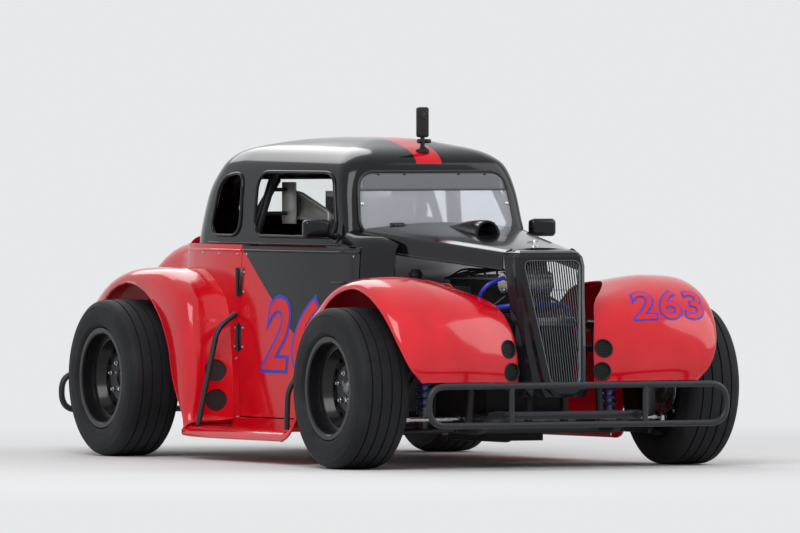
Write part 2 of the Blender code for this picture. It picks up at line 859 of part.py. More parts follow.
# Hood
HOOD_REAR = -0.3475
HOOD_FRONT = -1.108
HOOD_REAR_HALF = 0.319
HOOD_FRONT_HALF = 0.148
HOOD_REAR_Z = BELT_HEIGHT + 0.059
HOOD_FRONT_Z = BELT_HEIGHT - 0.011
HOOD_STRIP_REAR = BELT_HEIGHT - 0.012
HOOD_STRIP_FRONT = BELT_HEIGHT - 0.076
HOOD_SIDE_GAP = 0.016
HOOD_NOTCH_LENGTH = 0.090
HOOD_NOTCH_TOP = 0.014
SCOOP_FRONT = -0.700
SCOOP_LENGTH = 0.240
SCOOP_HALF = 0.050
SCOOP_HEIGHT = 0.048
HOOD_HINGE_RISE = 0.017
HOOD_HINGE = (0, HOOD_REAR + SHUT_GAP / 2, HOOD_REAR_Z + HOOD_HINGE_RISE)


def hood_section(share, steps=5):
    """Arch across the hood, from the rear edge at 0 to the nose at 1."""
    y = HOOD_REAR + (HOOD_FRONT - HOOD_REAR) * share
    half = HOOD_REAR_HALF + (HOOD_FRONT_HALF - HOOD_REAR_HALF) * share
    edge = HOOD_REAR_Z + (HOOD_FRONT_Z - HOOD_REAR_Z) * share
    low = HOOD_STRIP_REAR + (HOOD_STRIP_FRONT - HOOD_STRIP_REAR) * share
    crown = 0.026 - 0.012 * share
    right = [(half, low), (half, edge - 0.014), (half - 0.005, edge - 0.003), (half - 0.018, edge)]
    for step in range(1, steps):
        x = (half - 0.018) * (1 - step / steps)
        right.append((x, edge + crown * (1 - (x / half) ** 2)))
    outline = right + [(0, edge + crown)] + [(-x, z) for x, z in reversed(right)]
    return [(x, y, z) for x, z in outline]


def hood_top(y):
    """Height of the hood's centreline."""
    share = (HOOD_REAR - y) / (HOOD_REAR - HOOD_FRONT)
    return HOOD_REAR_Z + (HOOD_FRONT_Z - HOOD_REAR_Z) * share + 0.026 - 0.012 * share


def hood():
    """Hood skin with the half-round scoop. Its strips are notched to swing."""
    panel = shell(loft([hood_section(share / 4) for share in range(5)]), SKIN, (0, -0.7, 0.5))
    sections = []
    for share in (0, 0.35, 0.75, 1.0):
        y = SCOOP_FRONT + SCOOP_LENGTH * share
        size = 1 - 0.88 * share**1.5
        base = hood_top(y) - SKIN * 1.2
        arc = [math.radians(180 * step / 8) for step in range(9)]
        half, height = SCOOP_HALF * (1 - 0.25 * share), SCOOP_HEIGHT * size + SKIN * 1.2
        sections.append([(half * math.cos(a), y, base + height * math.sin(a)) for a in arc])
    scoop = loft(sections, closed=True, caps=True)
    mouth = rod(
        (0, SCOOP_FRONT - 0.02, hood_top(SCOOP_FRONT) + 0.002),
        (0, SCOOP_FRONT + 0.11, hood_top(SCOOP_FRONT + 0.11) + 0.001),
        SCOOP_HALF * 0.82,
        16,
        SCOOP_HALF * 0.25,
    )
    notch = [
        (HOOD_REAR - HOOD_NOTCH_LENGTH, HOOD_STRIP_FRONT),
        (HOOD_REAR, HOOD_REAR_Z - HOOD_NOTCH_TOP),
        (HOOD_REAR + OVERRUN, HOOD_REAR_Z - HOOD_NOTCH_TOP),
        (HOOD_REAR + OVERRUN, HOOD_STRIP_FRONT),
    ]
    corners = prism(notch, "X", -BODY_REACH, BODY_REACH)
    return cut(joined(panel, scoop), mouth, corners)


# Cab
RAKE = 0.27
GLASS_BASE_Y = -0.309
GLASS_BASE_Z = BELT_HEIGHT + 0.046

# Columns: height share, rear wall Y, half width front and rear, corner radii
CAB_RINGS = (
    (0.0, 0.900, 0.366, 0.434, 0.040, 0.200),
    (0.2358, 0.872, 0.357, 0.428, 0.042, 0.195),
    (0.5078, 0.825, 0.349, 0.419, 0.050, 0.190),
    (0.715, 0.758, 0.331, 0.400, 0.070, 0.180),
)
# Columns: height share, front Y, rear Y, half width front and rear, corner radii
ROOF_RINGS = (
    (0.8109, -0.226, 0.715, 0.300, 0.376, 0.080, 0.170),
    (0.8834, -0.175, 0.655, 0.256, 0.340, 0.090, 0.160),
    (0.9378, -0.090, 0.570, 0.180, 0.270, 0.090, 0.150),
    (0.9793, 0.000, 0.470, 0.100, 0.170, 0.050, 0.100),
    (1.0, 0.100, 0.350, 0.030, 0.060, 0.015, 0.030),
)


def cab_height(share):
    """Height at a share of the way from the belt to the top of the roof."""
    return BELT_HEIGHT + TOUCH + (ROOF_HEIGHT - BELT_HEIGHT - TOUCH) * share


def cab_rings():
    """Plan outlines of the cab, from the belt up."""
    rings = []
    for share, *row in CAB_RINGS:
        z = cab_height(share)
        rings.append(cab_ring(z, wall_y(z), *row))
    for share, *row in ROOF_RINGS:
        rings.append(cab_ring(cab_height(share), *row))
    return rings


def wall_y(z):
    """Front wall of the cab, which carries the windshield."""
    return GLASS_BASE_Y + RAKE * (z - GLASS_BASE_Z)


def cab_ring(z, front, rear, half_front, half_rear, front_radius, rear_radius):
    """Plan outline of the cab at one height."""
    right = [(0, front), (half_front * 0.45, front)]
    for step in range(3):
        angle = math.radians(-90 + 45 * step)
        right.append(
            (
                half_front - front_radius + front_radius * math.cos(angle),
                front + front_radius + front_radius * math.sin(angle),
            )
        )
    start, end = front + front_radius, rear - rear_radius
    for share in (0.33, 0.66):
        bulge = 0.010 * min(1, front_radius / 0.03) * math.sin(math.pi * share)
        half = half_front + (half_rear - half_front) * share + bulge
        right.append((half, start + (end - start) * share))
    for step in range(5):
        angle = math.radians(22.5 * step)
        right.append(
            (
                half_rear - rear_radius + rear_radius * math.cos(angle),
                end + rear_radius * math.sin(angle),
            )
        )
    outline = right + [(0, rear)] + [(-x, y) for x, y in reversed(right[1:])]
    return [(x, y, z) for x, y in outline]


# Window corners: Y on the sides or X on the ends, then the height share
SIDE_WINDOW = ((-0.240, 0.0803), (0.335, 0.0803), (0.330, 0.6762), (-0.175, 0.6762))
QUARTER_WINDOW = ((0.435, 0.0803), (0.660, 0.0803), (0.600, 0.6244), (0.440, 0.6762))
WINDSHIELD = ((-0.312, 0.1114), (0.312, 0.1114), (0.290, 0.6865), (-0.290, 0.6865))
REAR_WINDOW = ((-0.230, 0.2617), (0.230, 0.2617), (0.215, 0.6114), (-0.215, 0.6114))
WINDOW_CORNER = 0.065
REAR_WINDOW_CORNER = 0.040
GLASS_LAP = 0.016
WINDOW_REACH = 0.600
WALL_SPLIT_Y = 0.600
CAB_MIDDLE_Y = 0.300


def window(corners, margin=0.0, radius=WINDOW_CORNER):
    """Rounded outline of a window, smaller all round by the margin."""
    flat = [(along, cab_height(share)) for along, share in corners]
    return round_outline(inset(flat, margin), radius)


def inset(corners, amount):
    """Corners moved toward their middle by about an amount on each axis."""
    middle_a = sum(a for a, _ in corners) / len(corners)
    middle_b = sum(b for _, b in corners) / len(corners)
    return [
        (a + amount * math.copysign(1, middle_a - a), b + amount * math.copysign(1, middle_b - b))
        for a, b in corners
    ]


def cab_skin():
    """Roof, pillars and rear wall above the belt, before any cut."""
    surface = loft(cab_rings(), closed=True)
    bm = bmesh.new()
    bm.from_mesh(surface.data)
    top = [v for v in bm.verts if v.co.z > ROOF_HEIGHT - 0.0001]
    bmesh.ops.contextual_create(bm, geom=[e for e in bm.edges if all(v in top for v in e.verts)])
    bm.to_mesh(surface.data)
    bm.free()
    return shell(surface, SKIN, (0, 0.3, 0.9))


def cab_shell():
    """Cab above the belt with its windows cut."""
    cutters = [
        prism(window(SIDE_WINDOW), "X", -WINDOW_REACH, WINDOW_REACH),
        prism(window(QUARTER_WINDOW), "X", -WINDOW_REACH, WINDOW_REACH),
        prism(window(WINDSHIELD, GLASS_LAP), "Y", -WINDOW_REACH, 0),
        prism(window(REAR_WINDOW, 0, REAR_WINDOW_CORNER), "Y", WALL_SPLIT_Y, CAB_REAR + OVERRUN),
    ]
    return cut(cab_skin(), *cutters)


def windshield():
    """Flat pane that laps the front wall from outside."""
    pane = prism(window(WINDSHIELD), "Y", 0, -GLASS_THICKNESS)
    for vert in pane.data.vertices:
        vert.co.y += wall_y(vert.co.z) - TOUCH * 1.1
    return pane


def rear_window():
    """Pane that fills the opening in the rear wall."""
    outline = window(REAR_WINDOW, TOUCH, REAR_WINDOW_CORNER)
    return common(cab_skin(), prism(outline, "Y", WALL_SPLIT_Y, CAB_REAR + OVERRUN))


def cab_solid(grow):
    """Filled shape of the cab, to trim what is fastened on it."""
    middle = Vector((0, CAB_MIDDLE_Y, BELT_HEIGHT))
    grown = []
    for ring in cab_rings():
        points = [Vector(point) for point in ring]
        grown.append([point + (point - middle).normalized() * grow * 2 for point in points])
    return loft(grown, closed=True, caps=True)


# Grille shell
GRILLE_TOP_Y = -1.195
GRILLE_TOP_Z = BELT_HEIGHT - 0.029
GRILLE_RAKE = 0.25
GRILLE_REAR_HALF = 0.146

# Columns: share of the top's height, half width ahead, rear edge Y, half width there
GRILLE_ROWS = (
    (0.3405, 0.030, -1.255, 0.105),
    (0.3919, 0.076, -1.225, 0.128),
    (0.5811, 0.094, -1.190, 0.142),
    (0.8108, 0.112, -1.150, GRILLE_REAR_HALF),
    (0.9595, 0.126, -1.118, GRILLE_REAR_HALF),
    (1.0, 0.122, -1.114, GRILLE_REAR_HALF),
)
# Columns: rise, half width ahead, run back, rear edge Y, half width there
GRILLE_CROWN = (
    (0.016, 0.112, 0.014, -1.1150, 0.142),
    (0.023, 0.100, 0.035, -1.1155, 0.136),
    (0.026, 0.095, 0.071, -1.1220, 0.120),
)
GRILLE_OPENING_SHARES = ((-0.112, 0.9838), (0.112, 0.9838), (0.056, 0.3946), (-0.056, 0.3946))
GRILLE_OPENING = tuple((x, GRILLE_TOP_Z * share) for x, share in GRILLE_OPENING_SHARES)
GRILLE_CORNER = 0.030
BAR_PITCH = 0.0095
BAR_WIDTH = 0.0035


def grille_y(z):
    """Front face of the raked grille shell."""
    return GRILLE_TOP_Y - GRILLE_RAKE * (GRILLE_TOP_Z - z)


def grille_section(z, half, front, rear, rear_half):
    depth = min(0.022, (rear - front) * 0.5)
    right = [
        (rear_half, rear),
        (rear_half * 0.55 + half * 0.45, rear * 0.5 + front * 0.5),
        (half + 0.010, front + depth),
        (half + 0.003, front + 0.006),
        (half - 0.010, front),
        (half * 0.4, front),
    ]
    outline = right + [(-x, y) for x, y in reversed(right)]
    return [(x, y, z) for x, y in outline]


def grille_surface():
    rows = [
        grille_section(GRILLE_TOP_Z * share, half, grille_y(GRILLE_TOP_Z * share), rear, rear_half)
        for share, half, rear, rear_half in GRILLE_ROWS
    ]
    for rise, half, back, rear, rear_half in GRILLE_CROWN:
        rows.append(grille_section(GRILLE_TOP_Z + rise, half, GRILLE_TOP_Y + back, rear, rear_half))
    return loft(rows)


def grille_shell():
    skin = shell(grille_surface(), SKIN, (0, -1.10, 0.5))
    for vert in skin.data.vertices:
        vert.co.y = min(vert.co.y, HOOD_FRONT - SHUT_GAP)
    opening = prism(round_outline(GRILLE_OPENING, GRILLE_CORNER), "Y", -CUT_LENGTH, GRILLE_TOP_Y + SKIN * 4)
    return cut(skin, opening)


def gathered(pieces):
    """One object that holds several solids which do not touch."""
    bm = bmesh.new()
    for piece in pieces:
        bm.from_mesh(piece.data)
        bpy.data.objects.remove(piece)
    return object_of(bm)


def grille_bars():
    """Raked insert behind the opening, slotted into upright bars."""
    outline = round_outline(inset(GRILLE_OPENING, -SKIN), GRILLE_CORNER)
    plate = prism(outline, "Y", 0, 0.005)
    top, low = GRILLE_OPENING[0][1] - 0.004, GRILLE_OPENING[2][1] + 0.006
    wide, narrow = GRILLE_OPENING[1][0] - 0.004, GRILLE_OPENING[2][0] - 0.004
    slots = []
    count = int(wide / BAR_PITCH)
    for index in range(-count, count):
        start = index * BAR_PITCH + BAR_WIDTH / 2
        end = start + BAR_PITCH - BAR_WIDTH
        reach = max(abs(start), abs(end))
        if reach > wide:
            continue
        bottom = low + max(0, reach - narrow) / (wide - narrow) * (top - low) * 0.97
        if top - bottom > 0.02:
            slots.append(box((start, -0.1, bottom), (end, 0.1, top)))
    plate = cut(plate, gathered(slots))
    for vert in plate.data.vertices:
        vert.co.y += grille_y(vert.co.z) + SKIN * 1.04 + TOUCH
    return plate


# Fenders
# Shares of the way from the crown to the lip: across, then down
CROWN_TO_LIP_SHARES = ((0.45, 0.06), (0.75, 0.22), (0.93, 0.50), (1.0, 0.80), (1.0, 1.0))
# Shares of the way from the inner edge to the crown: across, then drop left
INNER_TO_CROWN_SHARES = ((0.0, 1.0), (0.45, 0.38), (0.80, 0.07))
BOARD_Z = 0.122
BOARD_LIP = 0.036
BOARD_JOINT = -0.385
BOARD_OUTER = WHEEL_X - 0.010


def fender_section(y, z, angle, lip, inner, inner_x, crown_x, outer_x):
    """One cut across a fender. Lip and inner are drops from its crown."""
    normal = Vector((0, math.cos(math.radians(angle)), math.sin(math.radians(angle))))
    crown = Vector((0, y, z))
    points = []
    for across, drop in INNER_TO_CROWN_SHARES:
        points.append((inner_x + (crown_x - inner_x) * across, inner * drop))
    points.append((crown_x, 0))
    for across, drop in CROWN_TO_LIP_SHARES:
        points.append((crown_x + (outer_x - crown_x) * across, lip * drop))
    return [Vector((x, 0, 0)) + crown - normal * down for x, down in points]


def fender_rows(axle, rows):
    """Sections from rows of angle, lip, crown and inner radius and three X."""
    sections = []
    for angle, lip, crown, inner, inner_x, crown_x, outer_x in rows:
        y = axle + crown * math.cos(math.radians(angle))
        z = TYRE_RADIUS + crown * math.sin(math.radians(angle))
        across = [WHEEL_X * share for share in (inner_x, crown_x, outer_x)]
        sections.append(fender_section(y, z, angle, crown - lip, crown - inner, *across))
    return sections


# Columns: angle from straight back, radius of lip, crown and inner edge,
# then the inner edge, the crown and the lip as shares of WHEEL_X
FRONT_FENDER = (
    (0, 0.372, 0.486, 0.486, 0.5231, 0.8846, 0.9877),
    (17, 0.360, 0.505, 0.503, 0.5231, 0.8846, 0.9923),
    (27, 0.354, 0.490, 0.486, 0.5077, 0.8692, 0.9954),
    (46, 0.350, 0.420, 0.412, 0.4923, 0.8308, 1.0),
    (66, 0.350, 0.395, 0.385, 0.4769, 0.7923, 1.0),
    (90, 0.350, 0.390, 0.368, 0.5077, 0.7538, 1.0),
    (108, 0.350, 0.390, 0.358, 0.4231, 0.7385, 1.0),
    (125, 0.352, 0.392, 0.360, 0.3077, 0.7077, 0.9969),
    (140, 0.354, 0.390, 0.350, 0.2585, 0.6923, 0.9846),
    (155, 0.354, 0.379, 0.325, 0.2338, 0.6769, 0.9569),
    (167, 0.348, 0.360, 0.312, 0.2308, 0.6769, 0.9077),
    (176, 0.336, 0.342, 0.305, 0.2308, 0.6769, 0.8308),
)
REAR_FENDER = (
    (180, 0.372, 0.487, 0.527, 0.6462, 0.8846, 0.9723),
    (163, 0.360, 0.493, 0.533, 0.6462, 0.8846, 0.9754),
    (149, 0.353, 0.515, 0.546, 0.6462, 0.8769, 0.9769),
    (138, 0.350, 0.500, 0.520, 0.6308, 0.8692, 0.9769),
    (122, 0.347, 0.460, 0.470, 0.6154, 0.8538, 0.9769),
    (104, 0.345, 0.412, 0.412, 0.6, 0.8385, 0.9754),
    (85, 0.346, 0.394, 0.385, 0.5846, 0.8231, 0.9723),
    (65, 0.350, 0.402, 0.387, 0.5538, 0.8077, 0.9662),
    (48, 0.357, 0.436, 0.412, 0.5385, 0.7846, 0.9569),
    (32, 0.367, 0.500, 0.470, 0.5077, 0.7538, 0.9415),
    (18, 0.382, 0.580, 0.550, 0.4769, 0.7231, 0.9231),
    (6, 0.402, 0.665, 0.640, 0.4462, 0.6923, 0.9015),
    (-3, 0.430, 0.730, 0.715, 0.4308, 0.6615, 0.8769),
)
VENT_RADIUS = 0.030
VENTS = ((0.187, 0.420), (0.177, 0.340))
REAR_VENT_RADIUS = 0.040
REAR_VENTS = ((0.519, 0.316), (0.519, 0.2105))


def board_section(y, outer, inner_x):
    return fender_section(y, BOARD_Z, 90, BOARD_LIP, 0, inner_x, outer - 0.05, outer)


def front_fender():
    """Left front fender with the front end of the running board."""
    back = FRONT_AXLE + FRONT_FENDER[0][2]
    sections = [
        board_section(BOARD_JOINT - TOUCH, BOARD_OUTER + 0.018, 0.34),
        board_section(back + 0.030, 0.672, 0.34),
        fender_section(back + 0.010, BOARD_Z + 0.010, 50, BOARD_LIP, 0, 0.34, 0.60, 0.668),
        fender_section(back + 0.002, BOARD_Z + 0.040, 10, BOARD_LIP, 0, 0.34, 0.585, 0.650),
    ]
    sections += fender_rows(FRONT_AXLE, FRONT_FENDER)
    skin = shell(loft(sections), SKIN, (0.45, FRONT_AXLE, TYRE_RADIUS))
    vents = [rod((x, -1.35, z), (x, -1.15, z), VENT_RADIUS, 16) for x, z in VENTS]
    return cut(skin, body_surface(TOUCH * 2, True), *vents)


def rear_fender():
    """Left rear fender with the long part of the running board."""
    front = REAR_AXLE - REAR_FENDER[0][2]
    sections = [
        board_section(BOARD_JOINT, BOARD_OUTER + 0.014, 0.36),
        board_section(front - 0.045, BOARD_OUTER, 0.40),
        fender_section(front - 0.016, BOARD_Z + 0.012, 130, BOARD_LIP, -0.020, 0.42, 0.59, 0.638),
        fender_section(front - 0.003, BOARD_Z + 0.045, 168, BOARD_LIP, -0.036, 0.42, 0.58, 0.634),
    ]
    sections += fender_rows(REAR_AXLE, REAR_FENDER)
    skin = shell(loft(sections), SKIN, (0.45, REAR_AXLE, TYRE_RADIUS))
    vents = [rod((x, 0.36, z), (x, 0.52, z), REAR_VENT_RADIUS, 16) for x, z in REAR_VENTS]
    return cut(skin, body_surface(TOUCH * 2, True), *vents)


# Bumpers and side bars
BUMPER_HALF = 0.583
BUMPER_LOW = 0.159
BUMPER_HIGH = 0.296
REAR_BUMPER_HALF = 0.500
REAR_BUMPER_LOW = 0.145
REAR_BUMPER_HIGH = 0.278
BAR_BEND = 0.060
REAR_BAR_TOP = (0.462, 0.386, 0.520)
REAR_BAR_KNEE = (0.535, 0.386, 0.470)
REAR_BAR_FOOT_X = 0.612
FRONT_BAR_KNEE = (0.655, -0.432, 0.260)
FRONT_BAR_TOP = (0.622, -0.436, 0.315)
FRONT_BAR_FOOT_Y = -0.424
BOARD_RISE = 0.0036


def bumper(y, half, low, high, frame_y, frame_z):
    """Closed tube loop with two posts and the stubs that hold it."""
    loop = [(-half, y, low), (half, y, low), (half, y, high), (-half, y, high)]
    pieces = [tube(loop, BAR_RADIUS, closed=True, bend=(high - low) * 0.48)]
    for _, side in SIDES:
        x = side * FRAME_RAIL_X
        pieces.append(rod((x, y, low), (x, y, high), BAR_RADIUS * 0.9))
        pieces.append(rod((x, y, frame_z), (x, frame_y, frame_z), BAR_RADIUS * 0.8))
    return joined(pieces[0], *pieces[1:])


def rear_side_bar():
    """Left bar ahead of the rear wheel."""
    path = [REAR_BAR_TOP, REAR_BAR_KNEE, (REAR_BAR_FOOT_X, REAR_BAR_KNEE[1], BOARD_Z + TOUCH * 4)]
    return tube(path, BAR_RADIUS * 0.87, bend=BAR_BEND)


def front_side_bar():
    """Left bar behind the front wheel, ahead of the door's swing."""
    foot = (FRONT_BAR_KNEE[0], FRONT_BAR_FOOT_Y, BOARD_Z + BOARD_RISE)
    return tube([foot, FRONT_BAR_KNEE, FRONT_BAR_TOP], BAR_RADIUS * 0.87, bend=BAR_BEND)


# Cockpit
SEAT_X = 0.020
SEAT_SHEET = 0.005
COLUMN_START = (SEAT_X, -0.300, BELT_HEIGHT - 0.089)
COLUMN_END = (SEAT_X, -0.125, BELT_HEIGHT - 0.044)
STEERING_RADIUS = 0.140


FLOOR_THICKNESS = 0.003
FLOOR_HALF = 0.360
FLOOR_REAR = 0.460
TOE_HALF = 0.255
TOE_FRONT = -0.4583
SEAT_HALF = 0.205
SEAT_REAR = 0.372
SEAT_FRONT = -0.020
SEAT_RISE = 0.030
THIGH_HEIGHT = 0.170
SHOULDER_DEPTH = 0.150
SHOULDER_HEIGHT = 0.660
BACK_HEIGHT = 0.700
HEAD_HALF = 0.130
HEAD_WING_DEPTH = 0.200
HEAD_LOW = 0.800
HEAD_HIGH = 0.940
HEAD_TOP = 0.960
DASH_HALF = 0.300
DASH_HEIGHT = 0.120
DASH_THICKNESS = 0.003
COLUMN_RADIUS = 0.014
HAND_RIM_RADIUS = 0.012
HAND_HUB_RADIUS = 0.035
HAND_HUB_LENGTH = 0.024
SPOKE_RADIUS = 0.007


def floor_pan():
    """Floor and firewall sheets, let round the cage feet."""
    low = FRAME_RAIL_Z + TUBE_RADIUS + TOUCH
    high = low + FLOOR_THICKNESS
    edge = CAGE_FOOT_Y - FLOOR_THICKNESS * 2
    floor = box((-FLOOR_HALF, edge, low), (FLOOR_HALF, FLOOR_REAR, high))
    toe = box((-TOE_HALF, TOE_FRONT, low), (TOE_HALF, edge + FLOOR_THICKNESS, high))
    wall = box((-TOE_HALF, TOE_FRONT, low), (TOE_HALF, TOE_FRONT + FLOOR_THICKNESS, BELT_HEIGHT))
    feet = [
        rod((side * x, y, low - TUBE_RADIUS), (side * x, y, low + TUBE_RADIUS), TUBE_RADIUS * 1.15)
        for _, side in SIDES
        for x, y in ((CAGE_FOOT_X, CAGE_FOOT_Y), (SIDE_RAIL_X, HOOP_Y))
    ]
    return cut(joined(floor, toe, wall), *feet)


def seat():
    """Sheet alloy bucket with side bolsters and head wings."""
    low = FRAME_RAIL_Z + TUBE_RADIUS + FLOOR_THICKNESS + TOUCH * 3
    base = low + SEAT_RISE
    left, right = SEAT_X + SEAT_HALF, SEAT_X - SEAT_HALF
    back = SEAT_REAR - SEAT_SHEET
    head_low = BACK_HEIGHT - SEAT_RISE / 3
    pieces = [
        box((right, SEAT_FRONT, base), (left, SEAT_REAR, base + SEAT_SHEET)),
        box((right, back, low), (left, SEAT_REAR, BACK_HEIGHT)),
        box((SEAT_X - HEAD_HALF, back, head_low), (SEAT_X + HEAD_HALF, SEAT_REAR, HEAD_TOP)),
    ]
    for _, side in SIDES:
        x = sorted((SEAT_X + side * SEAT_HALF, SEAT_X + side * (SEAT_HALF - SEAT_SHEET)))
        thigh = low + THIGH_HEIGHT
        pieces.append(box((x[0], SEAT_FRONT, low), (x[1], SEAT_REAR, thigh)))
        shoulder = SEAT_REAR - SHOULDER_DEPTH
        pieces.append(box((x[0], shoulder, thigh - SEAT_SHEET), (x[1], SEAT_REAR, SHOULDER_HEIGHT)))
        x = sorted((SEAT_X + side * HEAD_HALF, SEAT_X + side * (HEAD_HALF - SEAT_SHEET)))
        pieces.append(box((x[0], SEAT_REAR - HEAD_WING_DEPTH, HEAD_LOW), (x[1], SEAT_REAR, HEAD_HIGH)))
    return joined(pieces[0], *pieces[1:])


def dash_panel():
    """Dash sheet under the brow bar with the steering column."""
    y = DASH_BAR_Y + TUBE_RADIUS * 0.88 + TOUCH
    high = COLUMN_END[2] + COLUMN_RADIUS
    panel = box((-DASH_HALF, y, high - DASH_HEIGHT), (DASH_HALF, y + DASH_THICKNESS, high))
    start, end = Vector(COLUMN_START), Vector(COLUMN_END)
    share = (y + DASH_THICKNESS * 1.5 - start.y) / (end.y - start.y)
    column = rod(start.lerp(end, share), end, COLUMN_RADIUS)
    return joined(panel, column)


def steering_wheel():
    """Rim, hub and three spokes, square to the column."""
    axis = (Vector(COLUMN_END) - Vector(COLUMN_START)).normalized()
    across = Vector((1, 0, 0))
    upright = axis.cross(across)
    hub = Vector(COLUMN_END) + axis * BEARING
    middle = hub + axis * HAND_HUB_LENGTH / 2
    circle = [
        middle + (across * math.cos(a) + upright * math.sin(a)) * STEERING_RADIUS
        for a in (math.radians(22.5 * step) for step in range(16))
    ]
    pieces = [tube(circle, HAND_RIM_RADIUS, closed=True)]
    pieces.append(rod(hub, hub + axis * HAND_HUB_LENGTH, HAND_HUB_RADIUS, 12))
    for angle in (0, 180, 270):
        a = math.radians(angle)
        tip = middle + (across * math.cos(a) + upright * math.sin(a)) * STEERING_RADIUS
        pieces.append(rod(middle, tip, SPOKE_RADIUS))
    return joined(pieces[0], *pieces[1:])


# Engine bay
ENGINE_REAR = -0.540
ENGINE_FRONT = -0.985
CASE_LOW = 0.165
SUMP_LOW = 0.090
SUMP_HIGH = 0.200
FIN_START = 0.375
FIN_PITCH = 0.028
FIN_COUNT = 6
FIN_THICKNESS = 0.008
FIN_INSET = 0.015
BORE_PITCH = 0.095
CYLINDERS = 4
INTAKE_RADIUS = 0.024
INTAKE_Z = 0.585
INTAKE_END = 0.200
INTAKE_START = 0.090
MOUNT_HALF = 0.020
MOUNT_INSET = 0.050
MOUNT_LOW = 0.170
MOUNT_HIGH = 0.190
LUG_IN = 0.225
LUG_OUT = 0.245

# Columns: half width, set-in at each end, bottom, top
ENGINE_BLOCKS = (
    (0.150, 0.000, CASE_LOW, 0.340),
    (0.110, 0.070, SUMP_LOW, SUMP_HIGH),
    (0.095, 0.030, 0.330, 0.550),
    (0.115, 0.020, 0.545, 0.615),
    (0.085, 0.030, 0.610, 0.655),
)


def engine():
    """Crankcase, finned cylinders, head, the intakes and the mounts."""
    middle = (ENGINE_REAR + ENGINE_FRONT) / 2
    pieces = [
        box((-half, ENGINE_FRONT + inset_y, low), (half, ENGINE_REAR - inset_y, high))
        for half, inset_y, low, high in ENGINE_BLOCKS
    ]
    half = ENGINE_BLOCKS[3][0]
    for step in range(FIN_COUNT):
        z = FIN_START + FIN_PITCH * step
        front, rear = ENGINE_FRONT + FIN_INSET, ENGINE_REAR - FIN_INSET
        pieces.append(box((-half, front, z), (half, rear, z + FIN_THICKNESS)))
    for step in range(CYLINDERS):
        y = middle + (step - (CYLINDERS - 1) / 2) * BORE_PITCH
        pieces.append(rod((-INTAKE_START, y, INTAKE_Z), (-INTAKE_END, y, INTAKE_Z), INTAKE_RADIUS, 8))
    reach = FRAME_RAIL_X - TUBE_RADIUS - TOUCH
    for y in (ENGINE_FRONT + MOUNT_INSET, ENGINE_REAR - MOUNT_INSET):
        near, far = y - MOUNT_HALF, y + MOUNT_HALF
        pieces.append(box((-reach, near, MOUNT_LOW), (reach, far, MOUNT_HIGH)))
        for _, side in SIDES:
            x = sorted((side * LUG_IN, side * LUG_OUT))
            pieces.append(box((x[0], near, FRAME_RAIL_Z), (x[1], far, MOUNT_HIGH)))
    return joined(pieces[0], *pieces[1:])


PLENUM_OUT = 0.245
PLENUM_LOW = 0.545
PLENUM_HIGH = 0.635
PLENUM_INSET = 0.020
BREATHER_PLACE = (-0.222, -0.575, 0.630)

# Pairs of height and radius
BREATHER_PROFILE = (
    (0.000, 0.000),
    (0.000, 0.008),
    (0.022, 0.008),
    (0.022, 0.022),
    (0.045, 0.026),
    (0.060, 0.014),
    (0.062, 0.000),
)


def airbox():
    """Intake plenum along the four intakes, with its mushroom filter."""
    front, rear = ENGINE_FRONT + PLENUM_INSET, ENGINE_REAR - PLENUM_INSET
    plenum = box((-PLENUM_OUT, front, PLENUM_LOW), (-INTAKE_END - TOUCH, rear, PLENUM_HIGH))
    return joined(plenum, turned(BREATHER_PROFILE, BREATHER_PLACE, HUB_STEPS, "Z"))


CORE_HALF = 0.100
CORE_FRONT = -1.168
CORE_DEPTH = 0.032
CORE_LOW = 0.250
CORE_HIGH = 0.500
TANK_HEIGHT = 0.028
TANK_LIP = 0.004
FOOT_X = 0.070
FOOT_HALF = 0.010
FOOT_REAR = -1.060
FOOT_THICKNESS = 0.0065


def radiator():
    """Cooler core with its tank and two feet."""
    rear = CORE_FRONT + CORE_DEPTH
    low = FRAME_RAIL_Z + TUBE_RADIUS * 0.93 + TOUCH * 2
    core = box((-CORE_HALF, CORE_FRONT, CORE_LOW), (CORE_HALF, rear, CORE_HIGH))
    wide, front = CORE_HALF + TANK_LIP, CORE_FRONT - TANK_LIP
    tank = box((-wide, front, CORE_HIGH), (wide, rear + TANK_LIP, CORE_HIGH + TANK_HEIGHT))
    pieces = [tank]
    for _, side in SIDES:
        near, far = side * FOOT_X - FOOT_HALF, side * FOOT_X + FOOT_HALF
        pieces.append(box((near, CORE_FRONT, low), (far, FOOT_REAR, low + FOOT_THICKNESS)))
        pieces.append(box((near, CORE_FRONT, low), (far, rear - TANK_LIP, CORE_LOW + FOOT_HALF)))
    return joined(core, *pieces)


FUEL_FRONT = 1.030
FUEL_REAR = 1.250
FUEL_LOW = 0.320


def fuel_cell():
    """Fuel box hung between the rear rails."""
    half = FRAME_RAIL_X - TUBE_RADIUS - TOUCH
    return box((-half, FUEL_FRONT, FUEL_LOW), (half, FUEL_REAR, FRAME_KICK_Z + TUBE_RADIUS / 2))


CAN_RADIUS = 0.0385
CAN_START = (-0.128, -1.065, 0.650)
CAN_END = (0.060, -1.065, 0.650)


MIRROR_IN = 0.400
MIRROR_OUT = 0.502
MIRROR_FRONT = -0.262
MIRROR_BACK = -0.222
MIRROR_RISE = 0.031
MIRROR_HEIGHT = 0.064
MIRROR_BEVEL = 0.012
MIRROR_RADIUS = 0.010
MIRROR_FOOT_X = 0.340
CAMERA_Y = -0.187
CAMERA_RISE = 0.108
CAMERA_HALF = 0.022
CAMERA_DEPTH = 0.026
CAMERA_STEM_RADIUS = 0.009
CAMERA_STEM = 0.045
CAMERA_BASE_RADIUS = 0.024
CAMERA_BASE_DEPTH = 0.070


